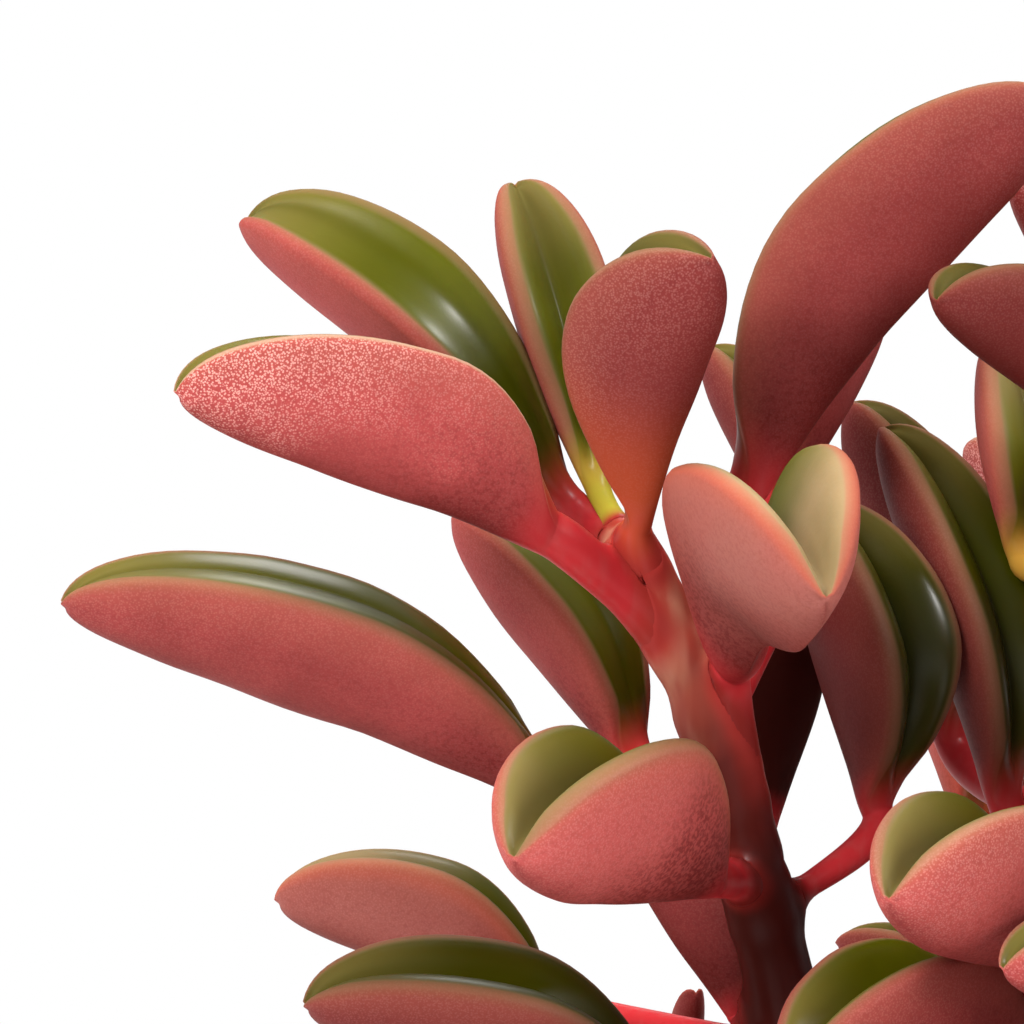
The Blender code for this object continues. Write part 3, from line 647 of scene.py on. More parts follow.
fineLeaf = {
    "rings": {"placed": (26, 40), "grown": (22, 35), "young": (10, 18)},  # along petiole and blade
    "petioleCrowd": 1.35,  # rings stand closer toward the stem
    "outerSteps": 13,
    "rimSteps": 5,
    "grooveSteps": 15,
    "crest": 0.56,
    "crestInset": 0.62,  # how far in from the side the margin's top lies, in rim thicknesses
    "shallower": 0.80,  # depth of an open fold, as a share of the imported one
    "cushion": 2.1,  # powers by which a closed and an open fold go down
    "shoulder": 1.3,
    "slimmest": 0.66,
    "waistEnd": 0.8,
    "wrapAt": 0.51,  # share of half a section where the green wraps over the margin
    "wrapWidth": 0.06,
    "wobble": 0.030,  # slow unevenness of a leaf, as a share of its section
    "wobbleScale": 150,
    "notch": 0.55,  # millimetres that the two margins stand past the tip's hollow
    "notchAt": 0.52,
    "notchWidth": 0.16,
    "notchFrom": 0.72,  # share of the blade
    "notchBack": 0.35,  # how much of the notch the rest of the section steps back
    "mucro": 0.15,  # millimetres that the point stands out
}
fineStem = {
    "step": 0.0007,
    "sides": 44,
    "tipTurns": (20, 42, 66),  # degrees at which rings close the round tip
    "wobble": 0.03,
    "wobbleScale": 120,
    "nodeSwell": 0.09,  # thicker where leaves stand, as a share of the radius
    "nodeLength": 1.9,  # millimetres
    "nodeBack": 0.35,
    "scarLength": 0.35,
}


def skin(rings, apex=None):
    around = len(rings[0])
    points = [point for ring in rings for point in ring]
    faces = [tuple(reversed(range(around)))]
    for start in range(0, (len(rings) - 1) * around, around):
        for i in range(around):
            j = (i + 1) % around
            faces.append((start + i, start + j, start + around + j, start + around + i))
    last = (len(rings) - 1) * around
    if apex is None:
        faces.append(tuple(range(last, last + around)))
    else:
        points.append(apex)
        faces += [(last + i, last + (i + 1) % around, len(points) - 1) for i in range(around)]
    return points, faces


def smoothLine(corners, steps):
    knots = [corners[0] * 2 - corners[1], *corners, corners[-1] * 2 - corners[-2]]
    line = []
    for a, b, c, d in zip(knots, knots[1:], knots[2:], knots[3:]):
        for k in range(steps):
            t = k / steps
            curve = b * 2 + (c - a) * t + (a * 2 - b * 5 + c * 4 - d) * t**2
            line.append((curve + (b * 3 - a - c * 3 + d) * t**3) / 2)
    line.append(corners[-1].copy())
    return line


class Stem:
    def __init__(self, name, facts):
        self.name, self.facts = name, facts
        self.line = smoothLine([Vector(corner) * mm for corner in facts["line"]], coarse["curveSteps"])
        self.reach = [0.0]
        for a, b in zip(self.line, self.line[1:]):
            self.reach.append(self.reach[-1] + (b - a).length)
        self.foot, self.tip = (radius * mm for radius in facts["radii"])

    def point(self, share):
        wanted = share * self.reach[-1]
        for k in range(len(self.line) - 1):
            if self.reach[k + 1] >= wanted:
                span = self.reach[k + 1] - self.reach[k]
                return self.line[k].lerp(self.line[k + 1], (wanted - self.reach[k]) / span)
        return self.line[-1].copy()

    def direction(self, share):
        slope = coarse["slope"]
        return (self.point(min(1, share + slope)) - self.point(max(0, share - slope))).normalized()

    def radius(self, share):
        return self.foot + (self.tip - self.foot) * share ** coarse["taper"]

    def swollen(self, share, nodes):  # thicker where leaves stand
        length = self.reach[-1] / mm
        swell = max(bell((share - node) * length / fineStem["nodeLength"]) for node in nodes)
        swell -= fineStem["nodeBack"]
        return self.radius(share) * (1 + fineStem["nodeSwell"] * swell * min(1, share * 8))

    def coarseRings(self):
        stations = 3 + round(self.reach[-1] / coarse["stemStep"])
        sides = coarse["stemSides"]
        rings = [self.ring(self.line[0] - up * coarse["buried"], up, self.foot, sides)]
        for k in range(stations):
            share = k / (stations - 1)
            along = up if k == 0 else self.direction(share)
            rings.append(self.ring(self.point(share), along, self.radius(share), sides))
        top, along = self.line[-1], self.direction(1)
        last = top + along * self.tip * coarse["tipAt"]
        rings.append(self.ring(last, along, self.tip * coarse["tipRadius"], sides))
        return rings, top + along * self.tip

    @staticmethod
    def ring(centre, along, radius, sides):
        across = (Vector((0, 1, 0)).cross(along)).normalized()
        other = along.cross(across)
        turns = [2 * math.pi * i / sides for i in range(sides)]
        return [centre + (across * math.cos(a) + other * math.sin(a)) * radius for a in turns]


def upperSide(along, roll):
    top = (up - along * up.dot(along)).normalized()
    return Matrix.Rotation(roll, 3, along) @ top


def halfSection(share, half, depth, floor, rim):
    s = leafShape
    if share <= s["outer"]:
        angle = share / s["outer"] * math.pi / 2
        return half * math.sin(angle) ** s["keelPower"], (depth - rim / 2) * (1 - math.cos(angle))
    if share <= s["rim"]:
        angle = (share - s["outer"]) / (s["rim"] - s["outer"]) * math.pi
        return half - rim / 2 + rim / 2 * math.cos(angle), depth - rim / 2 + rim / 2 * math.sin(angle)
    inward = 1 - (share - s["rim"]) / (1 - s["rim"])
    return (half - rim) * inward, floor + (depth - rim / 2 - floor) * inward ** s["groovePower"]


def plumpSection(share, half, depth, floor, rim, leaf):
    # As halfSection outside, then a soft crest. Inside, a closed fold is two cushions that meet in a
    # shallow crease, and an open one a shoulder and a round valley
    if share <= leafShape["outer"]:
        y, z = halfSection(share, half, depth, floor, rim)
        return half * (y / half) ** leaf["keel"], z
    inset = rim * fineLeaf["crestInset"]
    if share <= fineLeaf["crest"]:
        angle = (share - leafShape["outer"]) / (fineLeaf["crest"] - leafShape["outer"]) * math.pi / 2
        return half - inset + inset * math.cos(angle), depth - rim / 2 + rim / 2 * math.sin(angle)
    down = (share - fineLeaf["crest"]) / (1 - fineLeaf["crest"])
    opened = leaf["opened"]
    fall = (1 - opened) * leaf["crease"] * down ** fineLeaf["cushion"]
    fall += opened * smooth(down ** fineLeaf["shoulder"])
    fall -= leaf["domed"] * smooth(down)
    return (half - inset) * (1 - down), depth - (depth - floor) * fineLeaf["shallower"] * fall


def swelling(v, peak):
    if v < peak:
        return math.sin(math.pi / 2 * v / peak) ** (leafShape["taper"] * peak)
    return math.sqrt(max(0.0, 1 - ((v - peak) / (1 - peak)) ** 2))


def clamped(value):
    return max(0.0, min(1.0, value))


def smooth(value):
    value = clamped(value)
    return value * value * (3 - 2 * value)


def bell(value):
    return math.exp(-(value**2))


def section(v, leaf, shares, isFine):
    radius = leaf["petiole"] * (leaf["slim"] if isFine else 1.0)
    full = swelling(v, leaf["peak"])
    stalk = 2 * radius * (1 - v) ** 3
    depth = math.hypot(leaf["depth"] * full, stalk)
    half = math.hypot(leaf["half"] * full ** leafShape["halfPower"], stalk / 2)
    hollow = leafShape["grooveFloor"] * leaf["depth"] * full ** leafShape["groovePowerAlong"]
    hollow = math.hypot(hollow, 2 * radius * (1 - v) ** 8)
    floor = min(depth * 0.98, hollow)
    rim = min(leafShape["rimThickness"] * mm, 0.55 * half)
    folded = smooth(v / leafShape["foldedBy"])
    risen = (1 - full) ** (leaf["keelRise"] if isFine else 1.0)
    low = -radius if v < leaf["peak"] else leaf["lift"] * leaf["depth"] * risen - radius
    if isFine:
        waisted = leaf["waisted"] * mm * math.sin(math.pi * min(1, v / fineLeaf["waistEnd"])) ** 2
        low, depth, floor = low + waisted, depth - waisted, floor - waisted
    side = []
    for share in shares:
        if isFine:
            y, z = plumpSection(share, half, depth, floor, rim, leaf)
        else:
            y, z = halfSection(share, half, depth, floor, rim)
        angle = share * math.pi
        roundY, roundZ = half * math.sin(angle), depth / 2 * (1 - math.cos(angle))
        side.append((roundY + (y - roundY) * folded, low + roundZ + (z - roundZ) * folded))
    return side + [(-y, z) for y, z in reversed(side[1:-1])]


def leafRings(leaf, petioleStations, bladeStations, shares, isFine=False):
    root, base, tip = leaf["root"], leaf["base"], leaf["tip"]
    blade = tip - base
    top = upperSide(blade.normalized(), leaf["roll"])
    arch = top * (4 * leaf["bow"] * blade.length)
    reach = (base - root).length
    leave, arrive = base - root, (blade + arch).normalized() * (leafShape["petiolePull"] * reach)
    stations = []
    for p in petioleStations:
        place = (
            root * (2 * p**3 - 3 * p**2 + 1)
            + leave * (p**3 - 2 * p**2 + p)
            + base * (3 * p**2 - 2 * p**3)
            + arrive * (p**3 - p**2)
        )
        along = (
            (root - base) * (6 * p**2 - 6 * p)
            + leave * (3 * p**2 - 4 * p + 1)
            + arrive * (3 * p**2 - 2 * p)
        )
        flare = leaf["slim"] * waist(p) if isFine else 1 + leafShape["rootFlare"] * 4 * p * (1 - p) ** 3
        radius = leaf["petiole"] * flare
        outline = [(radius * math.sin(a), -radius * math.cos(a)) for a in roundTurns(shares)]
        stations.append((place, along.normalized(), outline))
    for v in bladeStations:
        place = base + blade * v + arch * (v * (1 - v))
        along = (blade + arch * (1 - 2 * v)).normalized()
        stations.append((place, along, section(v, leaf, shares, isFine)))
    rings = []
    for k, (place, along, outline) in enumerate(reversed(stations)):
        top = (top - along * top.dot(along)).normalized()
        if isFine and k < len(bladeStations):
            top = Matrix.Rotation(leaf["twist"] / len(bladeStations), 3, along) @ top
        across = top.cross(along)
        rings.insert(0, [place + across * y + top * z for y, z in outline])
    lastTop = upperSide((blade - arch).normalized(), leaf["roll"])
    apex = tip + lastTop * (leaf["lift"] * leaf["depth"] - leaf["petiole"])
    return rings, apex


def waist(p):
    # A petiole is slimmest at the stem
    return fineLeaf["slimmest"] + (1 - fineLeaf["slimmest"]) * smooth(p / fineLeaf["waistEnd"])


def roundTurns(shares):
    turns = [share * math.pi for share in shares]
    return turns + [-turn for turn in reversed(turns[1:-1])]


def placedLeaf(stem, facts):
    leaf = {**usualLeaf, **facts, "kind": "placed"}
    leaf.setdefault("otherWrap", leaf["wrap"])
    leaf["root"], leaf["stemRadius"] = stem.point(leaf["at"]), stem.radius(leaf["at"])
    leaf["base"], leaf["tip"] = Vector(leaf["base"]) * mm, Vector(leaf["tip"]) * mm
    for name in ("depth", "half", "petiole"):
        leaf[name] *= mm
    for name in ("roll", "twist"):
        leaf[name] = math.radians(leaf[name])
    return leaf


def heading(azimuth, steep):
    level = math.cos(steep)
    return Vector((math.cos(azimuth) * level, math.sin(azimuth) * level, math.sin(steep)))


def grownLeaf(stem, share, azimuth, lift, chance):
    g = growth
    size = stem.facts.get("size", 1.0)
    root = stem.point(share)
    rise = stem.facts.get("rise", g["highRise"]) * share ** g["risePower"]
    steep = math.radians(g["lowRise"] + rise) + lift + math.radians(chance["steep"])
    full = math.sin(math.pi * min(1, 0.30 + 0.62 * (1 - share)))
    blade = (g["shortBlade"] + g["moreBlade"] * full + chance["length"]) * size * mm
    petiole = (g["shortPetiole"] + g["morePetiole"] * (1 - share) + chance["petiole"]) * size * mm
    base = root + heading(azimuth, steep * g["petioleRise"]) * (petiole + stem.radius(share))
    wrap = 0.04 * varied(azimuth, 0.83) - 0.01
    return {
        **usualLeaf,
        "kind": "grown",
        "root": root,
        "at": share,
        "stemRadius": stem.radius(share),
        "base": base,
        "tip": base + heading(azimuth, steep) * blade,
        "depth": blade * g["depthShare"],
        "half": blade * g["halfShare"],
        "petiole": g["petioleRadius"] * mm * (0.4 + 0.6 * size),
        "roll": math.radians(chance["roll"]),
        "bow": chance["bow"],
        "peak": chance["peak"],
        "plain": True,
        "tint": varied(azimuth, 0.37),
        "wrap": wrap,
        "otherWrap": wrap,
        "warm": 0.5 * varied(azimuth, 0.59),
        "frost": 0.5 * varied(azimuth, 0.47) ** 2,
        "opened": 0.7 * varied(azimuth, 0.71) ** 2,
        "mottled": 0.4 * varied(azimuth, 0.31),
    }


def varied(azimuth, step):  # a share that differs from leaf to leaf without a draw
    return (azimuth * step) % 1.0


def coarseLeaf(leaf):
    blade, shares = ("plainBlade", "plainShares") if leaf["plain"] else ("blade", "shares")
    return leafRings(leaf, coarse["petiole"], coarse[blade], coarse[shares])


def leafBodies(leaf, margin):
    wide = {**leaf, "depth": leaf["depth"] + margin, "half": leaf["half"] + margin}
    wide["petiole"] = leaf["petiole"] + margin
    rings, apex = coarseLeaf(wide)
    whole = skin(rings, apex)
    return {
        "whole": BVHTree.FromPolygons(*whole),
        "blade": BVHTree.FromPolygons(*skin(rings[len(coarse["petiole"]):], apex)),
        "points": whole[0],
        "centre": (leaf["base"] + leaf["tip"]) / 2,
        "reach": (leaf["tip"] - leaf["root"]).length,
    }


def onOpenSide(points):
    sideX, sideZ = growth["openSide"]
    topX, topZ = growth["openTop"]
    for point in points:
        seen = point.z + growth["viewSlope"] * point.y
        if (point.x < sideX and seen > sideZ) or (point.x < topX and seen > topZ):
            return True
    return False


def isClear(leaf, stem, stemTrees, grown):
    body = leafBodies(leaf, growth["clearance"] * mm)
    if onOpenSide(body["points"]) or min(point.z for point in body["points"]) < growth["lowestLeaf"]:
        return False
    for name, tree in stemTrees.items():
        if (body["blade"] if name == stem.name else body["whole"]).overlap(tree):
            return False
    for name, other in grown:
        if (other["centre"] - body["centre"]).length > other["reach"] + body["reach"]:
            continue
        if name != stem.name and other["whole"].overlap(body["whole"]):
            return False
        if other["blade"].overlap(body["whole"]) or other["whole"].overlap(body["blade"]):
            return False
    return True


def firstClear(stem, share, azimuth, chance, stemTrees, grown):
    for rise in range(growth["liftTries"]):
        for turn in range(growth["turnTries"]):
            shift = (turn + 1) // 2 * (1 if turn % 2 else -1)
            turned = azimuth + shift * math.radians(growth["turnStep"])
            leaf = grownLeaf(stem, share, turned, rise * math.radians(growth["liftStep"]), chance)
            if isClear(leaf, stem, stemTrees, grown):
                return leaf
    return None


youngLeaves = {
    "kinds": [  # degrees over the level, then millimetres
        {"steep": 66, "blade": 10.5, "petiole": 1.2, "radius": 0.9},
        {"steep": 78, "blade": 7.0, "petiole": 0.8, "radius": 0.8},
    ],
    "chance": {"steep": 0, "length": 0, "petiole": 0, "roll": 0, "bow": 0.03, "peak": 0.52},
    "depthShare": 0.30,
    "halfShare": 0.15,
    "turns": (0, 50, -50, 100, -100, 150, -150),  # degrees, tried in this order
}


def youngLeaf(stem, facts, azimuth):
    leaf = grownLeaf(stem, 1.0, azimuth, 0.0, youngLeaves["chance"])
    forward = heading(azimuth, math.radians(facts["steep"]))
    blade = facts["blade"] * mm
    leaf["base"] = leaf["root"] + forward * (stem.tip + facts["petiole"] * mm)
    leaf["tip"] = leaf["base"] + forward * blade
    leaf["depth"], leaf["half"] = blade * youngLeaves["depthShare"], blade * youngLeaves["halfShare"]
    leaf["petiole"] = facts["radius"] * mm
    leaf["kind"] = "young"
    return leaf


def addYoungLeaves(stem, leaves, stemTrees, grown):
    # The one or two small leaves at a stem's tip, where they touch no other
    for number, facts in enumerate(youngLeaves["kinds"]):
        first = math.radians(stem.facts["turn"] + (stem.facts["leaves"] + number) * growth["golden"])
        for turn in youngLeaves["turns"]:
            leaf = youngLeaf(stem, facts, first + math.radians(turn))
            if isClear(leaf, stem, stemTrees, grown):
                leaves.append(leaf)
                grown.append((stem.name, leafBodies(leaf, 0)))
                break


def growLeaves(stems):
    leaves = {}
    for stem in stems:
        leaves[stem.name] = [placedLeaf(stem, facts) for facts in placedLeaves.get(stem.name, [])]
    grown = [(name, leafBodies(leaf, 0)) for name, some in leaves.items() for leaf in some]
    stemTrees = {stem.name: BVHTree.FromPolygons(*skin(*stem.coarseRings())) for stem in stems}
    draw = random.Random(growth["seed"])
    for stem in stems:
        count = stem.facts.get("leaves", 0)
        for i in range(count):
            share = stem.facts["first"] + (1 - stem.facts["first"]) * (i + 0.6) / count
            azimuth = math.radians(stem.facts["turn"]) + i * math.radians(growth["golden"])
            chance = {name: draw.uniform(*ends) for name, ends in growth["chances"].items()}
            leaf = firstClear(stem, share, azimuth, chance, stemTrees, grown)
            if leaf:
                leaves[stem.name].append(leaf)
                grown.append((stem.name, leafBodies(leaf, 0)))
    for stem in stems:
        if "leaves" in stem.facts:
            addYoungLeaves(stem, leaves[stem.name], stemTrees, grown)
    return leaves


def fineShares():
    f = fineLeaf
    outer, crest = leafShape["outer"], f["crest"]
    shares = [outer * k / f["outerSteps"] for k in range(f["outerSteps"])]
    shares += [outer + (crest - outer) * k / f["rimSteps"] for k in range(f["rimSteps"])]
    return shares + [crest + (1 - crest) * k / f["grooveSteps"] for k in range(f["grooveSteps"] + 1)]


# The leaf's own facts that its material reads at each point
leafTraits = ("tint", "glow", "dusty", "warm", "frost", "at", "mottled")


class PieceMesh:
    # Gathers shells with their attributes, and makes one mesh of them

    def __init__(self):
        self.points, self.faces, self.slots = [], [], []
        self.values = {name: [] for name in ("across", "along", "joined", *leafTraits)}

    def add(self, points, faces, slot, **values):
        shell = bpy.data.meshes.new("shell")
        shell.from_pydata([tuple(point) for point in points], [], faces)
        work = bmesh.new()
        work.from_mesh(shell)
        bmesh.ops.recalc_face_normals(work, faces=work.faces)
        start = len(self.points)
        self.points += [vertex.co.copy() for vertex in work.verts]
        self.faces += [[start + vertex.index for vertex in face.verts] for face in work.faces]
        self.slots += [slot] * len(work.faces)
        for name, listed in self.values.items():
            value = values.get(name, 0.0)
            listed += value if isinstance(value, list) else [value] * len(points)
        work.free()
        bpy.data.meshes.remove(shell)

    def object(self, name, materials):
        mesh = bpy.data.meshes.new(name)
        mesh.from_pydata([tuple(point) for point in self.points], [], self.faces)
        for material in materials:
            mesh.materials.append(material)
        mesh.polygons.foreach_set("material_index", self.slots)
        for title, listed in self.values.items():
            mesh.attributes.new(title, "FLOAT", "POINT").data.foreach_set("value", listed)
        mesh.shade_smooth()
        return newObject(name, mesh)


joinShape = {
    "reach": 1.4,  # how far a soft join reaches from petiole and stem, in radii of the stem's tip
    "inside": 0.35,  # a petiole's first ring lies this deep in the stem, as a share of its radius
    "hidden": (0.3, 0.9),  # millimetres inside the other part between which the join fades
    "tuck": 0.05,  # millimetres by which the part that ends lies under the one that goes on
    "tuckReach": 1.2,
    "rounds": 3,  # steps in which a point finds its place
    "tint": 2.4,  # millimetres over which the join's own colour fades
    "stemSamples": 400,
    "petioleSamples": 80,
    "shed": 3,  # parts into which scars of shed leaves divide the bare foot of a stem
}


class SoftJoin:
    # Moves points of petioles and stem, where these meet, onto one smooth surface around both

    def __init__(self, stem, leaves):
        self.reach = joinShape["reach"] * stem.tip
        grown = [leaf["at"] for leaf in leaves]
        self.scars = [min(grown) * k / joinShape["shed"] for k in range(1, joinShape["shed"])]
        self.nodes = grown + self.scars
        steps = joinShape["stemSamples"]
        line = [(stem.point(k / steps), stem.swollen(k / steps, self.nodes)) for k in range(steps + 1)]
        self.stem = self.tree(line)
        steps = joinShape["petioleSamples"]
        self.petioles = []
        for leaf in leaves:
            rings, _ = leafRings(leaf, [k / steps for k in range(steps)], [0.5], [0.0, 1.0], isFine=True)
            line = [((ring[0] + ring[1]) / 2, (ring[0] - ring[1]).length / 2) for ring in rings[:steps]]
            self.petioles.append(self.tree(line))

    @staticmethod
    def tree(samples):
        found = KDTree(len(samples))
        for k, (place, _) in enumerate(samples):
            found.insert(place, k)
        found.balance()
        return found, samples

    @staticmethod
    def gap(point, lines):
        # How far the point lies outside the nearest of these tubes, and the way out of it
        least = None
        for found, samples in lines:
            centre, number, distance = found.find(point)
            gap = distance - samples[number][1]
            if least is None or gap < least[0]:
                least = (gap, (point - centre) / max(distance, 1e-9))
        return least

    def moved(self, point, own, others):
        # The point on the smooth surface, and how far from the other parts it started
        start, _ = self.gap(point, others)
        shallow, deep = (depth * mm for depth in joinShape["hidden"])
        if start > self.reach or start < -deep:
            return point, start
        place = point.copy()
        for _ in range(joinShape["rounds"]):
            mine, theirs = self.gap(place, [own]), self.gap(place, others)
            near = max(0.0, 1 - abs(mine[0] - theirs[0]) / self.reach)
            first, second = (mine, theirs) if mine[0] < theirs[0] else (theirs, mine)
            slope = first[1] * (1 - near / 2) + second[1] * (near / 2)
            place -= slope * ((first[0] - self.reach / 4 * near**2) / max(0.2, slope.length_squared))
        tucked = smooth(0.5 + (mine[0] - theirs[0]) / (joinShape["tuckReach"] * mm))
        place -= slope.normalized() * (joinShape["tuck"] * mm * tucked)
        kept = smooth((start + deep) / (deep - shallow))
        return point.lerp(place, kept), start


def addLeaf(piece, leaf, join, own):
    shares = fineShares()
    length = (leaf["base"] - leaf["root"]).length
    start = joinShape["inside"] * leaf["stemRadius"] / length
    count, steps = fineLeaf["rings"][leaf["kind"]]
    places = [(k / count) ** fineLeaf["petioleCrowd"] for k in range(count)]
    petiole = [start + (1 - start) * place for place in places]
    blade = [0.5 - 0.5 * math.cos(math.pi * (k + 0.6) / (steps + 0.25)) for k in range(steps)]
    rings, _ = leafRings(leaf, petiole, blade, shares, isFine=True)
    forward = (leaf["tip"] - leaf["base"]).normalized()
    folded = shares + list(reversed(shares[1:-1]))
    wraps = [leaf["wrap"]] * len(shares) + [leaf["otherWrap"]] * (len(shares) - 2)
    near = [bell((share - fineLeaf["wrapAt"]) / fineLeaf["wrapWidth"]) for share in folded]
    borders = [share - wrap * close for share, wrap, close in zip(folded, wraps, near)]
    across, along, joined = [], [], []
    for station, ring in zip([p - 1 for p in petiole] + blade, rings):
        centre = sum(ring, Vector()) / len(ring)
        late = smooth((station - fineLeaf["notchFrom"]) / (1 - fineLeaf["notchFrom"]))
        for i, share in enumerate(folded):
            point = ring[i]
            wobble = (point - centre) * (fineLeaf["wobble"] * noise.noise(point * fineLeaf["wobbleScale"]))
            lobe = bell((share - fineLeaf["notchAt"]) / fineLeaf["notchWidth"]) - fineLeaf["notchBack"]
            gap = 1.0
            if station < 0:
                point, gap = join.moved(point, own, [join.stem])
            ring[i] = point + wobble + forward * (fineLeaf["notch"] * mm * late * lobe)
            joined.append(clamped(1 - gap / (joinShape["tint"] * mm)))
        across += borders
        along += [station] * len(ring)
    apex = sum(rings[-1], Vector()) / len(rings[-1]) + forward * (fineLeaf["mucro"] * mm)
    points, faces = skin(rings, apex)
    traits = {name: leaf[name] for name in leafTraits}
    piece.add(points, faces, 0, across=across + [0.5], along=along + [1.0], joined=joined + [0.0], **traits)


def addStem(piece, stem, join):
    length = stem.reach[-1]
    count = round(length / fineStem["step"])
    sides = fineStem["sides"]
    stations = []
    for k in range(count + 1):
        share = k / count
        along = up if k == 0 else stem.direction(share)
        stations.append((share, stem.point(share), along, stem.swollen(share, join.nodes)))
    _, top, forward, wide = stations[-1]
    for turn in (math.radians(angle) for angle in fineStem["tipTurns"]):
        stations.append((1.0, top + forward * (wide * math.sin(turn)), forward, wide * math.cos(turn)))
    rings = [Stem.ring(stem.line[0] - up * coarse["buried"], up, stem.foot, sides)]
    along, scars, joined = [0.0] * sides, [0.0] * sides, [0.0] * sides
    for share, centre, direction, radius in stations:
        scar = max(bell((share - node) * length / mm / fineStem["scarLength"]) for node in join.scars)
        ring = []
        for point in Stem.ring(centre, direction, radius, sides):
            out = (point - centre).normalized()
            wobble = out * (radius * fineStem["wobble"] * noise.noise(point * fineStem["wobbleScale"]))
            point, gap = join.moved(point, join.stem, join.petioles)
            ring.append(point + wobble)
            joined.append(clamped(1 - gap / (joinShape["tint"] * mm)))
        rings.append(ring)
        along += [share] * sides
        scars += [scar] * sides
    apex, _ = join.moved(top + forward * wide, join.stem, join.petioles)
    points, faces = skin(rings, apex)
    piece.add(points, faces, 1, along=along + [1.0], tint=scars + [0.0], joined=joined + [1.0])


def makeLeafyStems():
    materials = [leafMaterial(), stemMaterial()]
    stems = [Stem(name, facts) for name, facts in stemFacts.items()]
    leaves = growLeaves(stems)
    for stem in stems:
        piece = PieceMesh()
        join = SoftJoin(stem, leaves[stem.name])
        addStem(piece, stem, join)
        for leaf, own in zip(leaves[stem.name], join.petioles):
            addLeaf(piece, leaf, join, own)
        node = "leafy_stem_" + stem.name
        made = piece.object("fine_" + node, materials)
        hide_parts(node)
        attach(made, "root")
    print("leafy stems: done,", sum(len(some) for some in leaves.values()), "leaves")


# Pot: turned outline with rounded edges, drain holes in its floor
potShape = {
    "height": 0.106,
    "rimRadius": 0.060,
    "rimBand": 0.022,
    "rimStep": 0.0035,
    "footRadius": 0.041,
    "wall": 0.0045,
    "floor": 0.006,
    "edge": 0.0012,
    "edgeSteps": 5,
    "sides": 144,
    "step": 0.004,  # longest step between rings of points
    "innerRing": 0.55,  # an extra ring on both faces of the floor, as a share of its radius
    "uneven": 0.0001,  # slow unevenness that turning left above the foot, and its scale up the wall
    "unevenScale": 90,
    "evenFoot": 0.004,
    "sharp": 40,  # degrees past which an edge is not shaded smooth
    "drains": 3,
    "drainRadius": 0.0045,
    "drainRing": 0.022,
    "drainSides": 40,
}


def innerRadius(height):
    s = potShape
    spread = s["rimRadius"] - s["rimStep"] - s["footRadius"]
    return s["footRadius"] + spread * height / s["height"] - s["wall"]


def roundedCorner(before, corner, after, size):
    a, b, c = (Vector(p) for p in (before, corner, after))
    start, end = b + (a - b).normalized() * size, b + (c - b).normalized() * size
    shares = [k / potShape["edgeSteps"] for k in range(potShape["edgeSteps"] + 1)]
    return [tuple(start * (1 - t) ** 2 + b * 2 * t * (1 - t) + end * t * t) for t in shares]


def potOutline():
    s = potShape
    band = s["height"] - s["rimBand"]
    bodyTop = innerRadius(band) + s["wall"]
    corners = [
        (s["footRadius"], 0),
        (bodyTop, band),
        (s["rimRadius"], band),
        (s["rimRadius"], s["height"]),
        (innerRadius(s["height"]), s["height"]),
        (innerRadius(s["floor"]), s["floor"]),
    ]
    joined = [(0, 0), *corners, (0, s["floor"])]
    outline = [(0, 0), (s["footRadius"] * s["innerRing"], 0)]
    for before, corner, after in zip(joined, joined[1:], joined[2:]):
        bend = roundedCorner(before, corner, after, s["edge"])
        reach = Vector(bend[0]) - Vector(outline[-1])
        steps = max(1, round(reach.length / s["step"]))
        last = Vector(outline[-1])
        outline += [tuple(last + reach * k / steps) for k in range(1, steps)]
        outline += bend
    return outline + [(innerRadius(s["floor"]) * s["innerRing"], s["floor"]), (0, s["floor"])]


def turned(name, outline, sides, uneven=0.0):
    work = bmesh.new()
    rings = []
    for r, z in outline:
        count = 1 if r == 0 else sides
        ring = []
        for k in range(count):
            a = 2 * math.pi * k / sides
            wave = 0.0
            if z > potShape["evenFoot"]:
                where = Vector((math.cos(a) * 0.8, math.sin(a) * 0.8, z * potShape["unevenScale"]))
                wave = uneven * noise.noise(where)
            ring.append(work.verts.new(((r + wave) * math.cos(a), (r + wave) * math.sin(a), z)))
        rings.append(ring)
    for low, high in zip(rings, rings[1:]):
        for k in range(sides):
            j = (k + 1) % sides
            if len(low) == 1:
                work.faces.new((low[0], high[j], high[k]))
            elif len(high) == 1:
                work.faces.new((low[k], low[j], high[0]))
            else:
                work.faces.new((low[k], low[j], high[j], high[k]))
    bmesh.ops.recalc_face_normals(work, faces=work.faces)
    mesh = bpy.data.meshes.new(name)
    work.to_mesh(mesh)
    work.free()
    mesh.shade_smooth()
    return newObject(name, mesh)


def keepResult(made):
    graph = bpy.context.evaluated_depsgraph_get()
    mesh = bpy.data.meshes.new_from_object(made.evaluated_get(graph))
    made.modifiers.clear()
    made.data = mesh


def makePot():
    s = potShape
    made = turned("fine_pot", potOutline(), s["sides"], s["uneven"])
    made.data.materials.append(potMaterial())
    low, high = -s["floor"], 2 * s["floor"]
    outline = [(0, low), (s["drainRadius"], low), (s["drainRadius"], high), (0, high)]
    cutters = []
    for k in range(s["drains"]):
        angle = 2 * math.pi * (k + 0.5) / s["drains"]
        cutter = turned("drainCutter", outline, s["drainSides"])
        x, y = s["drainRing"] * math.cos(angle), s["drainRing"] * math.sin(angle)
        cutter.data.transform(Matrix.Translation((x, y, 0)))
        hole = made.modifiers.new("drain", "BOOLEAN")
        hole.operation, hole.solver, hole.object = "DIFFERENCE", "EXACT", cutter
        cutters.append(cutter)
    keepResult(made)
    made.data.shade_smooth()
    made.data.set_sharp_from_angle(angle=math.radians(s["sharp"]))
    for cutter in cutters:
        bpy.data.objects.remove(cutter)
    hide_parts("pot")
    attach(made, "root")
    print("pot: done")


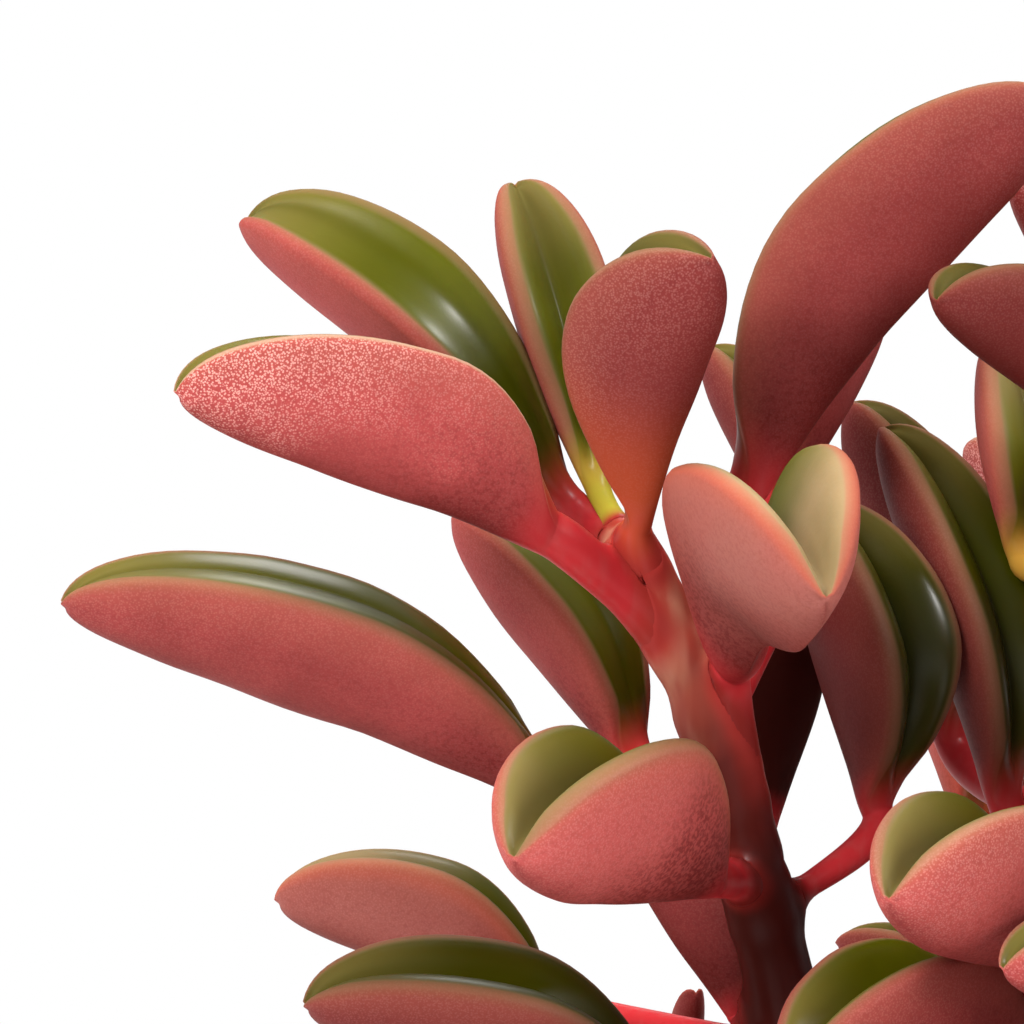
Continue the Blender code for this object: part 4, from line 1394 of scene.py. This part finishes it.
# Soil: a rough surface that fills the pot to its rim band, with loose grains on it
soilShape = {
    "top": 0.097,
    "hump": 0.0018,
    "gap": 0.00015,  # between the soil and the pot's wall
    "overFloor": 0.0005,
    "bevel": 0.0012,
    "sides": 150,
    "rings": 44,
    "crumb": 0.00066,  # how high the roughness stands
    "coarseness": (420, 1100),
    "dark": (0.020, 0.012, 0.007),
    "light": (0.060, 0.036, 0.021),
    "scale": 500,
    "seed": 5,
}
grainKinds = {  # numbers are grains on a square metre, and sizes are radii
    "crumbs": {
        "number": 620000,
        "small": 0.0005,
        "large": 0.0012,
        "flat": 0.7,
        "dark": (0.018, 0.011, 0.007),
        "light": (0.085, 0.050, 0.028),
    },
    "bark": {
        "number": 90000,
        "small": 0.0011,
        "large": 0.0026,
        "flat": 0.45,
        "dark": (0.040, 0.018, 0.009),
        "light": (0.16, 0.080, 0.040),
    },
    "perlite": {
        "number": 16000,
        "small": 0.0010,
        "large": 0.0020,
        "flat": 0.85,
        "dark": (0.55, 0.53, 0.48),
        "light": (0.82, 0.80, 0.76),
    },
}
grainShape = {
    "upward": 0.55,  # least upward share of a face that grains lie on
    "long": (0.8, 1.7),  # length beside width
    "bend": 0.0010,  # how far noise of this scale moves their corners
    "bendScale": 1600.0,
    "materialScale": 900,
}


def soilHeight(x, y):
    edge = max(0.0, 1 - (math.hypot(x, y) / innerRadius(soilShape["top"])) ** 2)
    bumps = 0.5 * math.sin(150 * x + 1.3) * math.sin(170 * y + 0.4) + 0.3 * math.sin(310 * x - 260 * y)
    return soilShape["top"] + soilShape["hump"] * edge * (0.6 + bumps)


def makeSoil():
    s = soilShape
    low = potShape["floor"] + s["overFloor"]
    wide = innerRadius(s["top"]) - s["gap"]
    outline = [(0, low), (innerRadius(low) - 3 * s["gap"], low), (wide, s["top"] - s["bevel"])]
    outline += [(wide * (1 - k / s["rings"]), s["top"]) for k in range(1, s["rings"])] + [(0, s["top"])]
    made = turned("fine_soil", outline, s["sides"])
    coarseScale, fineScale = s["coarseness"]
    for vertex in made.data.vertices:
        x, y, z = vertex.co
        if z > s["top"] - s["bevel"] / 2:
            rough = noise.noise(Vector((x, y, 0)) * coarseScale)
            rough += 0.5 * noise.noise(Vector((x, y, 7)) * fineScale)
            vertex.co.z = soilHeight(x, y) + s["crumb"] * (rough - 0.4)
    made.data.materials.append(soilMaterial("pottingSoil", s["dark"], s["light"], s["scale"]))
    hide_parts("soil")
    for number, (name, kind) in enumerate(grainKinds.items()):
        grains = scatterGrains(made, name, kind, s["seed"] + number)
        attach(grains, "root")
    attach(made, "root")
    print("soil: done")


grainInputs = {
    "Density": "NodeSocketFloat",
    "Small": "NodeSocketFloat",
    "Large": "NodeSocketFloat",
    "Flat": "NodeSocketFloat",
    "Seed": "NodeSocketInt",
    "Finish": "NodeSocketMaterial",
}


def grainTree():
    # Random grains on the upward faces of a mesh, as real faces of one material
    group = bpy.data.node_groups.new("scatterGrains", "GeometryNodeTree")
    group.interface.new_socket("Ground", in_out="INPUT", socket_type="NodeSocketGeometry")
    for name, kind in grainInputs.items():
        group.interface.new_socket(name, in_out="INPUT", socket_type=kind)
    group.interface.new_socket("Grains", in_out="OUTPUT", socket_type="NodeSocketGeometry")
    t = Tree(group)
    g = grainShape
    taken = {name: t.node("NodeGroupInput", output=name) for name in ["Ground", *grainInputs]}
    seed = taken["Seed"]
    normal = t.node("GeometryNodeInputNormal")
    upward = t.node("ShaderNodeSeparateXYZ", None, {0: normal}, output="Z")
    facing = t.node("FunctionNodeCompare", {"operation": "GREATER_THAN"}, {0: upward, 1: g["upward"]})
    values = {"Mesh": taken["Ground"], "Selection": facing, "Density": taken["Density"], "Seed": seed}
    points = t.node("GeometryNodeDistributePointsOnFaces", {"distribute_method": "RANDOM"}, values)
    grain = t.node("GeometryNodeMeshIcoSphere", None, {"Radius": 1.0, "Subdivisions": 1})
    turn = t.chance("FLOAT_VECTOR", (-3.14, -3.14, -3.14), (3.14, 3.14, 3.14), seed)
    size = t.chance("FLOAT", taken["Small"], taken["Large"], seed)
    long = size * t.chance("FLOAT", *g["long"], seed + 1)
    scale = t.node("ShaderNodeCombineXYZ", None, {0: long, 1: size, 2: size * taken["Flat"]})
    values = {"Points": points, "Instance": grain, "Rotation": turn, "Scale": scale}
    copies = t.node("GeometryNodeInstanceOnPoints", None, values)
    real = t.node("GeometryNodeRealizeInstances", None, {"Geometry": copies})
    values = {"Vector": t.node("GeometryNodeInputPosition"), "Scale": g["bendScale"], "Detail": 1.0}
    uneven = t.node("ShaderNodeTexNoise", None, values, output="Color")
    centred = t.node("ShaderNodeVectorMath", {"operation": "SUBTRACT"}, {0: uneven, 1: (0.5, 0.5, 0.5)})
    shift = t.node("ShaderNodeVectorMath", {"operation": "SCALE"}, {0: centred, "Scale": g["bend"]})
    bent = t.node("GeometryNodeSetPosition", None, {"Geometry": real, "Offset": shift})
    values = {"Geometry": bent, "Material": taken["Finish"]}
    t.node("NodeGroupOutput", None, {"Grains": t.node("GeometryNodeSetMaterial", None, values)})
    return group


def scatterGrains(ground, name, kind, seed):
    group = bpy.data.node_groups.get("scatterGrains") or grainTree()
    base = newObject("soil_" + name, ground.data)
    modifier = base.modifiers.new("grains", "NODES")
    modifier.node_group = group
    finish = soilMaterial(name, kind["dark"], kind["light"], grainShape["materialScale"])
    chosen = {
        "Density": float(kind["number"]),
        "Small": kind["small"],
        "Large": kind["large"],
        "Flat": kind["flat"],
        "Seed": seed,
        "Finish": finish,
    }
    for item in group.interface.items_tree:
        if item.name in chosen:
            modifier[item.identifier] = chosen[item.name]
    keepResult(base)
    print("grains:", name, len(base.data.polygons), "faces")
    return base


# Studio: a pale floor that turns to white further out, a white surround and soft round lights, some
# for the even light alone and some for the highlights alone
studio = {
    "floorRadius": 6.0,
    "floorSides": 96,
    "floor": (0.82, 0.82, 0.81),
    "floorFade": (0.25, 0.60),
    "aim": (0, 0, 0.15),
    "surround": 1.0,
    "ambient": 0.24,
    "lightColour": (1.0, 0.985, 0.965),
    "lights": {
        "key": {"at": (-0.62, -0.86, 0.92), "size": 0.60, "power": 17.5, "highlight": False},
        "front": {"at": (0.80, -0.65, 0.93), "size": 0.22, "power": 15.0, "highlight": True},
        "behind": {"at": (0.09, 1.10, 0.99), "size": 0.36, "power": 2.6, "highlight": True},
        "top": {"at": (0.05, 0.25, 1.30), "size": 0.60, "power": 16.5, "highlight": False},
        "left": {"at": (-1.10, -0.15, 0.60), "size": 0.60, "power": 4.0, "highlight": False},
        "right": {"at": (0.95, -0.75, 0.50), "size": 0.60, "power": 9.0, "highlight": False},
    },
}


def makeStudio():
    mesh = bpy.data.meshes.new("floor")
    work = bmesh.new()
    bmesh.ops.create_circle(work, cap_ends=True, radius=studio["floorRadius"], segments=studio["floorSides"])
    work.to_mesh(mesh)
    work.free()
    floor = newObject("floor", mesh)
    made, t, shader = newMaterial("paleFloor")
    setShader(t, shader, colour=(*studio["floor"], 1.0), roughness=0.9, specular=0.1)
    reach = t.node("ShaderNodeVectorMath", {"operation": "LENGTH"}, {0: t.place()}, output="Value")
    glowing = t.node("ShaderNodeEmission", None, {"Color": (1, 1, 1, 1), "Strength": studio["surround"]})
    values = {0: t.rise(reach, *studio["floorFade"]), 1: Link(t, shader.outputs[0]), 2: glowing}
    faded = t.node("ShaderNodeMixShader", None, values)
    t.tree.links.new(faded.socket, t.tree.nodes["Material Output"].inputs["Surface"])
    mesh.materials.append(made)

    world = bpy.data.worlds.new("surround")
    world.use_nodes = True
    bpy.context.scene.world = world
    w = Tree(world.node_tree)
    seen = w.node("ShaderNodeLightPath", output="Is Camera Ray")
    strength = seen * (studio["surround"] - studio["ambient"]) + studio["ambient"]
    background = world.node_tree.nodes["Background"]
    background.inputs["Color"].default_value = (1, 1, 1, 1)
    world.node_tree.links.new(strength.socket, background.inputs["Strength"])

    for name, facts in studio["lights"].items():
        data = bpy.data.lights.new(name, "AREA")
        data.shape, data.size = "DISK", facts["size"]
        data.energy, data.color = facts["power"], studio["lightColour"]
        light = newObject(name, data)
        light.location = facts["at"]
        aim = Vector(studio["aim"]) - light.location
        light.rotation_euler = aim.to_track_quat("-Z", "Y").to_euler()
        light.visible_camera = False
        light.visible_diffuse, light.visible_glossy = not facts["highlight"], facts["highlight"]
    bpy.context.scene.view_settings.view_transform = "Standard"
    print("studio: done")


makeLeafyStems()
makePot()
makeSoil()
makeStudio()
